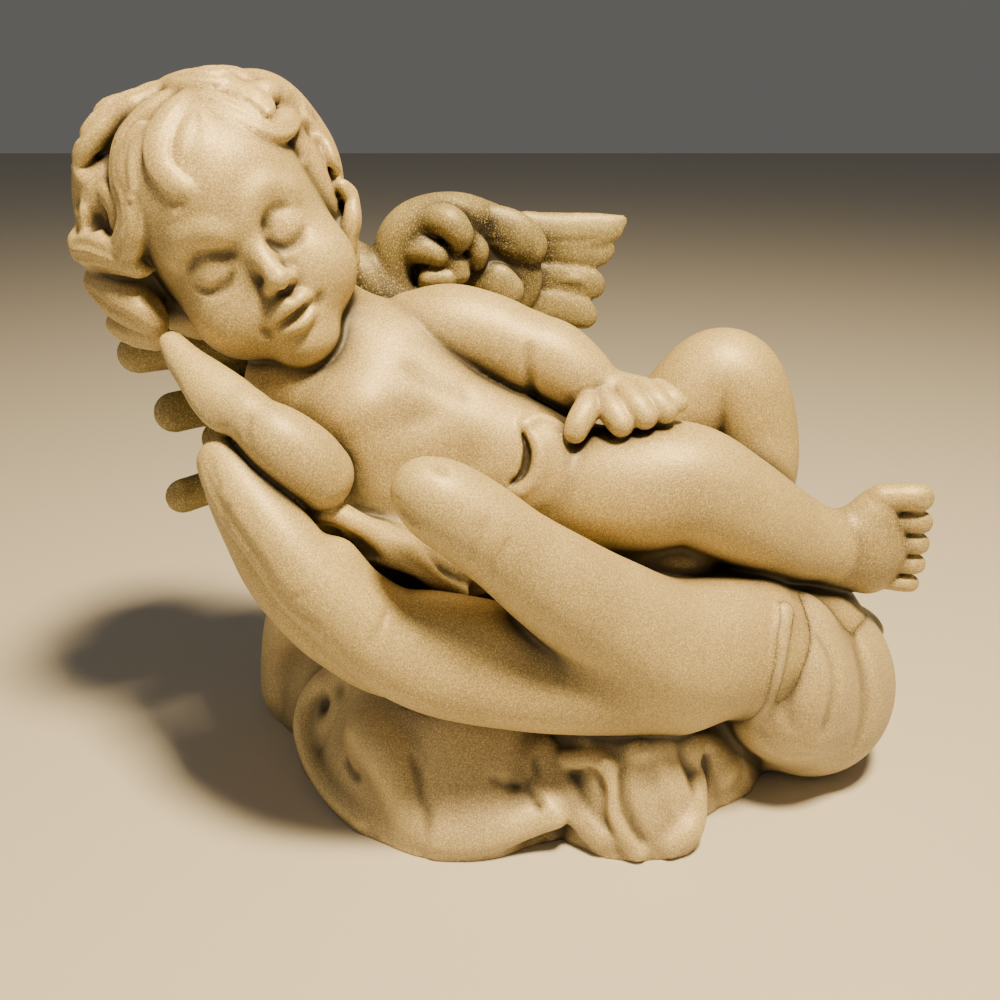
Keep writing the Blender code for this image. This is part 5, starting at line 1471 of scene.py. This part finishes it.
@dataclass(frozen=True)
class ResinFinish:
    """Cold-cast polyresin, sprayed with pearly beige and rubbed with a brown wash.

    The spray gives the eye a fine warm glitter on the raised skin; its glints are painted as pale
    specks.
    The brown in the creases and hollows is the wash together with painted shade, darker where a
    spot lies deeper, and the cloth and the wings are sprayed greyer and browner than the child.
    The glitter's real flakes are too fine to show, so they are drawn 0.3 mm across.
    """

    PEARL_AND_GLINT: ClassVar[str] = "#ECD896"
    WASH_AND_SHADE: ClassVar[str] = "#241E16"

    sprayed: tuple[tuple[Tint, str], ...] = (
        (Tint.CLOTH, "#AE9C78"),
        (Tint.WING, "#20180E"),
        (Tint.FOOT, "#8A7856"),
        (Tint.HAIR, "#AE986A"),
        (Tint.SKIN, "#AC986A"),
    )
    # pearl over the spray: in clouds, and on what stands proud
    dust: tuple[Coat, ...] = (
        Coat("clouds", 0.35, 0.7, 0.25, PEARL_AND_GLINT),
        Coat("recess", 0.50, 0.36, 0.3, PEARL_AND_GLINT),
    )
    # then painted glints on its flakes, and the brown in the hollows and creases, thin and then thick,
    # which is the wash and painted shade together
    wash_and_painted_light: tuple[Coat, ...] = (
        Coat("specks", 0.58, 0.70, 0.5, PEARL_AND_GLINT),
        Coat("recess", 0.49, 0.62, 0.9, WASH_AND_SHADE),
        Coat("recess", 0.60, 0.76, 0.95, WASH_AND_SHADE),
    )
    roughness: float = 0.52
    metallic: float = 0.2
    speck_mm: float = 0.32
    cloud_mm: float = 22.0
    grain: float = 0.15  # how strongly the specks stand out from the surface
    grain_height: float = 0.3 * MM

    def spray(self, tree: bpy.types.NodeTree, tint: bpy.types.NodeSocket) -> bpy.types.NodeSocket:
        """Gives each part its sprayed colour.

        Args:
            tree: the material's nodes.
            tint: the tint of the part, from 0 to 1.

        Returns:
            The colour.
        """
        node = add_node(tree, "ShaderNodeValToRGB", {"Fac": tint})
        stops = node.color_ramp.elements
        for number, (name, colour) in enumerate(self.sprayed):
            stop = stops[number] if number < 2 else stops.new(name.value)
            stop.position = name.value
            stop.color = linear(colour)
        return node.outputs["Color"]

    def patterns(self, tree: bpy.types.NodeTree) -> dict[str, bpy.types.NodeSocket]:
        """Adds what the colours follow.

        Args:
            tree: the material's nodes.

        Returns:
            The values of the piece's own tint and recess, and of the specks and clouds.
        """
        found = {}
        for name in ("tint", "recess"):
            found[name] = add_node(tree, "ShaderNodeAttribute", {}, attribute_name=name).outputs["Fac"]
        place = add_node(tree, "ShaderNodeTexCoord", {}).outputs["Object"]
        for name, size, detail in (("specks", self.speck_mm, 1.0), ("clouds", self.cloud_mm, 4.0)):
            links = {"Vector": place, "Scale": 1.0 / (size * MM), "Detail": detail}
            found[name] = add_node(tree, "ShaderNodeTexNoise", links).outputs["Fac"]
        return found

    def coated(
        self,
        tree: bpy.types.NodeTree,
        patterns: dict[str, bpy.types.NodeSocket],
        colour: bpy.types.NodeSocket,
        coats: Sequence[Coat],
    ) -> bpy.types.NodeSocket:
        """Lays coats over a colour.

        Args:
            tree: the material's nodes.
            patterns: the values that the coats follow, by name.
            colour: what they lie on.
            coats: the coats, the lowest first.

        Returns:
            The colour with its coats.
        """
        for coat in coats:
            limits = {0: patterns[coat.pattern], 1: coat.start, 2: coat.end, 3: 0.0, 4: coat.most}
            share = add_node(tree, "ShaderNodeMapRange", limits).outputs[0]
            links = {0: share, 6: colour, 7: linear(coat.colour)}
            colour = add_node(tree, "ShaderNodeMix", links, data_type="RGBA").outputs[2]
        return colour

    def material(self) -> bpy.types.Material:
        """Makes the material.

        Returns:
            The material.
        """
        # the brown wash in this name also stands for painted shade in the hollows, and its pale specks
        # are painted glints
        mat = bpy.data.materials.new("cast polyresin, pearly beige with a brown wash")
        mat.use_nodes = True
        tree = mat.node_tree
        shader = tree.nodes["Principled BSDF"]
        found = self.patterns(tree)
        dusted = self.coated(tree, found, self.spray(tree, found["tint"]), self.dust)
        # flakes drawn lighter and darker, as painted glints and painted shade on the glitter
        limits = {0: found["specks"], 1: 0.36, 2: 0.62, 3: 0.68, 4: 1.16}
        shine = add_node(tree, "ShaderNodeMapRange", limits)
        links = {0: 1.0, 6: dusted, 7: shine.outputs[0]}
        glitter = add_node(tree, "ShaderNodeMix", links, data_type="RGBA", blend_type="MULTIPLY")
        washed_and_shaded = self.coated(tree, found, glitter.outputs[2], self.wash_and_painted_light)
        links = {"Height": found["specks"], "Strength": self.grain, "Distance": self.grain_height}
        bump = add_node(tree, "ShaderNodeBump", links)
        tree.links.new(washed_and_shaded, shader.inputs["Base Color"])
        tree.links.new(bump.outputs[0], shader.inputs["Normal"])
        shader.inputs["Roughness"].default_value = self.roughness
        shader.inputs["Metallic"].default_value = self.metallic
        return mat


# ---------------------------------------------------------------- the figurine


@dataclass
class Figurine:
    """The whole cast, in one piece."""

    voxel: float = 0.62
    triangles: int = 190000
    stand: tuple[float, float] = (-5.9, 5.4)  # from the clay's own frame to the figurine's
    # the brown wash and the painted shade in the hollows follow how deep a spot lies; the wider radius
    # also paints shade into the larger hollows between parts
    recess_boxes: Rows = ((1.2, 0.45), (4.2, 0.55))  # how deep a spot lies: (radius, share)
    parts: Sequence[Form] = (
        Drapery(),
        GreatHand(),
        Trunk(),
        Legs(),
        Foot(),
        Wings(),
        LeftArm(),
        RightArm(),
        Head(),
        Hair(),
    )

    def model(self) -> tuple[Clay, np.ndarray]:
        """Works every part and joins them.

        Returns:
            The finished clay, and the tint of every place in it.
        """
        clay = Clay(self.voxel)
        tints = np.zeros(clay.field.shape, np.float32)
        for form in self.parts:
            part = Clay(self.voxel)
            form.shape(part)
            cut, share = clay.take(part, form.blend)
            tints[cut] += share * (form.tint.value - tints[cut])
            LOG.info("%s worked", type(form).__name__)
        return clay, tints

    def thinned(self, clay: Clay) -> bpy.types.Mesh:
        """Meshes the clay in metres and thins it to the number of triangles.

        Args:
            clay: the finished clay.

        Returns:
            The mesh.
        """
        points, quads = clay.surface()
        mesh = bpy.data.meshes.new("clay")
        mesh.from_pydata((points * MM).tolist(), [], quads.tolist())
        rough = bpy.data.objects.new("clay", mesh)
        bpy.context.scene.collection.objects.link(rough)
        thin = rough.modifiers.new("thin", "DECIMATE")
        thin.ratio = min(self.triangles / (2.0 * len(quads)), 1.0)
        thin.use_collapse_triangulate = True
        depsgraph = bpy.context.evaluated_depsgraph_get()
        thinned = bpy.data.meshes.new_from_object(rough.evaluated_get(depsgraph))
        bpy.data.objects.remove(rough)
        return thinned

    def drop_crumbs(self, bm: bmesh.types.BMesh) -> None:
        """Deletes every loose body except the largest.

        Args:
            bm: the figure.
        """
        left = set(bm.verts)
        bodies = []
        while left:
            body, edge = set(), [left.pop()]
            while edge:
                vert = edge.pop()
                body.add(vert)
                near = {e.other_vert(vert) for e in vert.link_edges} & left
                left -= near
                edge.extend(near)
            bodies.append(body)
        bodies.sort(key=len)
        small = [vert for body in bodies[:-1] for vert in body]
        bmesh.ops.delete(bm, geom=small, context="VERTS")

    def cut_flat(self, bm: bmesh.types.BMesh) -> None:
        """Cuts the figure flat at the ground and closes its underside.

        Args:
            bm: the figure.
        """
        geometry = bm.verts[:] + bm.edges[:] + bm.faces[:]
        bmesh.ops.bisect_plane(
            bm, geom=geometry, plane_co=(0, 0, 0), plane_no=(0, 0, 1), clear_inner=True
        )
        rim = [edge for edge in bm.edges if edge.is_boundary]
        bmesh.ops.holes_fill(bm, edges=rim, sides=0)
        bmesh.ops.triangulate(bm, faces=bm.faces[:])
        bmesh.ops.recalc_face_normals(bm, faces=bm.faces[:])

    def dress(self, mesh: bpy.types.Mesh, clay: Clay, tints: np.ndarray) -> None:
        """Gives the mesh its tint and recess attributes and its finish.

        Args:
            mesh: the cast.
            clay: the finished clay.
            tints: the tint of every place in it.
        """
        count = len(mesh.vertices)
        points = np.empty(count * 3, np.float32)
        mesh.vertices.foreach_get("co", points)
        points = points.reshape(-1, 3) / MM - np.array([*self.stand, 0.0])
        # how deep each spot lies, which the brown wash and the painted shade in the hollows follow
        recess = np.zeros(count)
        for radius, share in self.recess_boxes:
            recess += share * clay.sampled(clay.fullness(radius), points)
        values = {"tint": clay.sampled(tints, points), "recess": recess}
        for name, value in values.items():
            attribute = mesh.attributes.new(name, "FLOAT", "POINT")
            attribute.data.foreach_set("value", value.astype(np.float32))
        mesh.materials.append(ResinFinish().material())

    def build(self) -> bpy.types.Object:
        """Makes the piece and puts it in the frame.

        Returns:
            The piece.
        """
        clay, tints = self.model()
        mesh = self.thinned(clay)
        bm = bmesh.new()
        bm.from_mesh(mesh)
        self.drop_crumbs(bm)
        self.cut_flat(bm)
        offset = Vector((self.stand[0] * MM, self.stand[1] * MM, 0.0))
        bmesh.ops.translate(bm, verts=bm.verts[:], vec=offset)
        bm.to_mesh(mesh)
        bm.free()
        mesh.name = "cast_cherub"
        mesh.shade_smooth()
        self.dress(mesh, clay, tints)
        piece = bpy.data.objects.new("cast_cherub", mesh)
        bpy.context.scene.collection.objects.link(piece)
        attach(piece, "root")
        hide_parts("cherub_figurine")
        LOG.info("%s: %d triangles", piece.name, len(mesh.polygons))
        return piece


# ---------------------------------------------------------------- studio


@dataclass(frozen=True)
class Lamp:
    """A soft square lamp, in metres and watts."""

    name: str
    place: Row
    size: float
    power: float
    colour: str

    def build(self, aim: Row) -> None:
        """Adds the lamp.

        Args:
            aim: the point that it is turned to.
        """
        light = bpy.data.lights.new(self.name, "AREA")
        light.size = self.size
        light.energy = self.power
        light.color = linear(self.colour)[:3]
        lamp = bpy.data.objects.new(self.name, light)
        lamp.location = self.place
        lamp.rotation_euler = (Vector(aim) - Vector(self.place)).to_track_quat("-Z", "Y").to_euler()
        bpy.context.scene.collection.objects.link(lamp)


@dataclass(frozen=True)
class Studio:
    """A pale floor, soft light and the camera."""

    camera_at: Row = (-0.0059, -0.2266, 0.165)
    camera_pitch: float = 68.0
    lens: float = 36.108
    near: float = 0.005  # the nearest that the camera sees
    aim: Row = (0, 0, 0.08)
    lamps: tuple[Lamp, ...] = (
        Lamp("key lamp", (0.112, -0.18, 0.663), 0.1, 15.0, "#FFE2AC"),
        Lamp("fill lamp", (-0.628, -0.363, 0.418), 0.5, 0.7, "#FFE6C0"),
    )
    sky_colour: str = "#EDEAE4"
    sky_strength: float = 0.14
    floor_colour: str = "#BFBAB1"
    floor_roughness: float = 0.8
    floor_half: float = 3.0
    floor_drop: float = 0.0002  # keeps the floor clear of the figurine's underside

    def floor(self) -> None:
        """Adds the floor, just under the figurine."""
        mesh = bpy.data.meshes.new("floor")
        bm = bmesh.new()
        bmesh.ops.create_grid(bm, x_segments=1, y_segments=1, size=self.floor_half)
        bmesh.ops.translate(bm, verts=bm.verts[:], vec=(0, 0, -self.floor_drop))
        bm.to_mesh(mesh)
        bm.free()
        floor = bpy.data.objects.new("floor", mesh)
        bpy.context.scene.collection.objects.link(floor)
        # matt paint on board: even and pale, with no shine
        mat = bpy.data.materials.new("matt painted floor")
        mat.use_nodes = True
        shader = mat.node_tree.nodes["Principled BSDF"]
        shader.inputs["Base Color"].default_value = linear(self.floor_colour)
        shader.inputs["Roughness"].default_value = self.floor_roughness
        mesh.materials.append(mat)

    def sky(self) -> None:
        """Adds the even light from all round."""
        world = bpy.data.worlds.new("studio")
        world.use_nodes = True
        background = world.node_tree.nodes["Background"]
        background.inputs["Color"].default_value = linear(self.sky_colour)
        background.inputs["Strength"].default_value = self.sky_strength
        bpy.context.scene.world = world

    def camera(self) -> None:
        """Adds the camera, which looks down a little at the front."""
        camera = bpy.data.objects.new("camera", bpy.data.cameras.new("camera"))
        camera.data.sensor_width = 36.0
        camera.data.lens = self.lens
        camera.data.clip_start = self.near
        camera.location = self.camera_at
        camera.rotation_euler = (radians(self.camera_pitch), 0.0, 0.0)
        bpy.context.scene.collection.objects.link(camera)
        bpy.context.scene.camera = camera

    def build(self) -> None:
        """Adds the floor, the lamps, the light all round and the camera."""
        self.floor()
        for lamp in self.lamps:
            lamp.build(self.aim)
        self.sky()
        self.camera()
        LOG.info("studio set up")


def main() -> None:
    """Builds the studio and the figurine."""
    logging.basicConfig(level=logging.INFO, format="%(name)s: %(message)s")
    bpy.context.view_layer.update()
    Studio().build()
    Figurine().build()


if __name__ == "__main__":
    main()
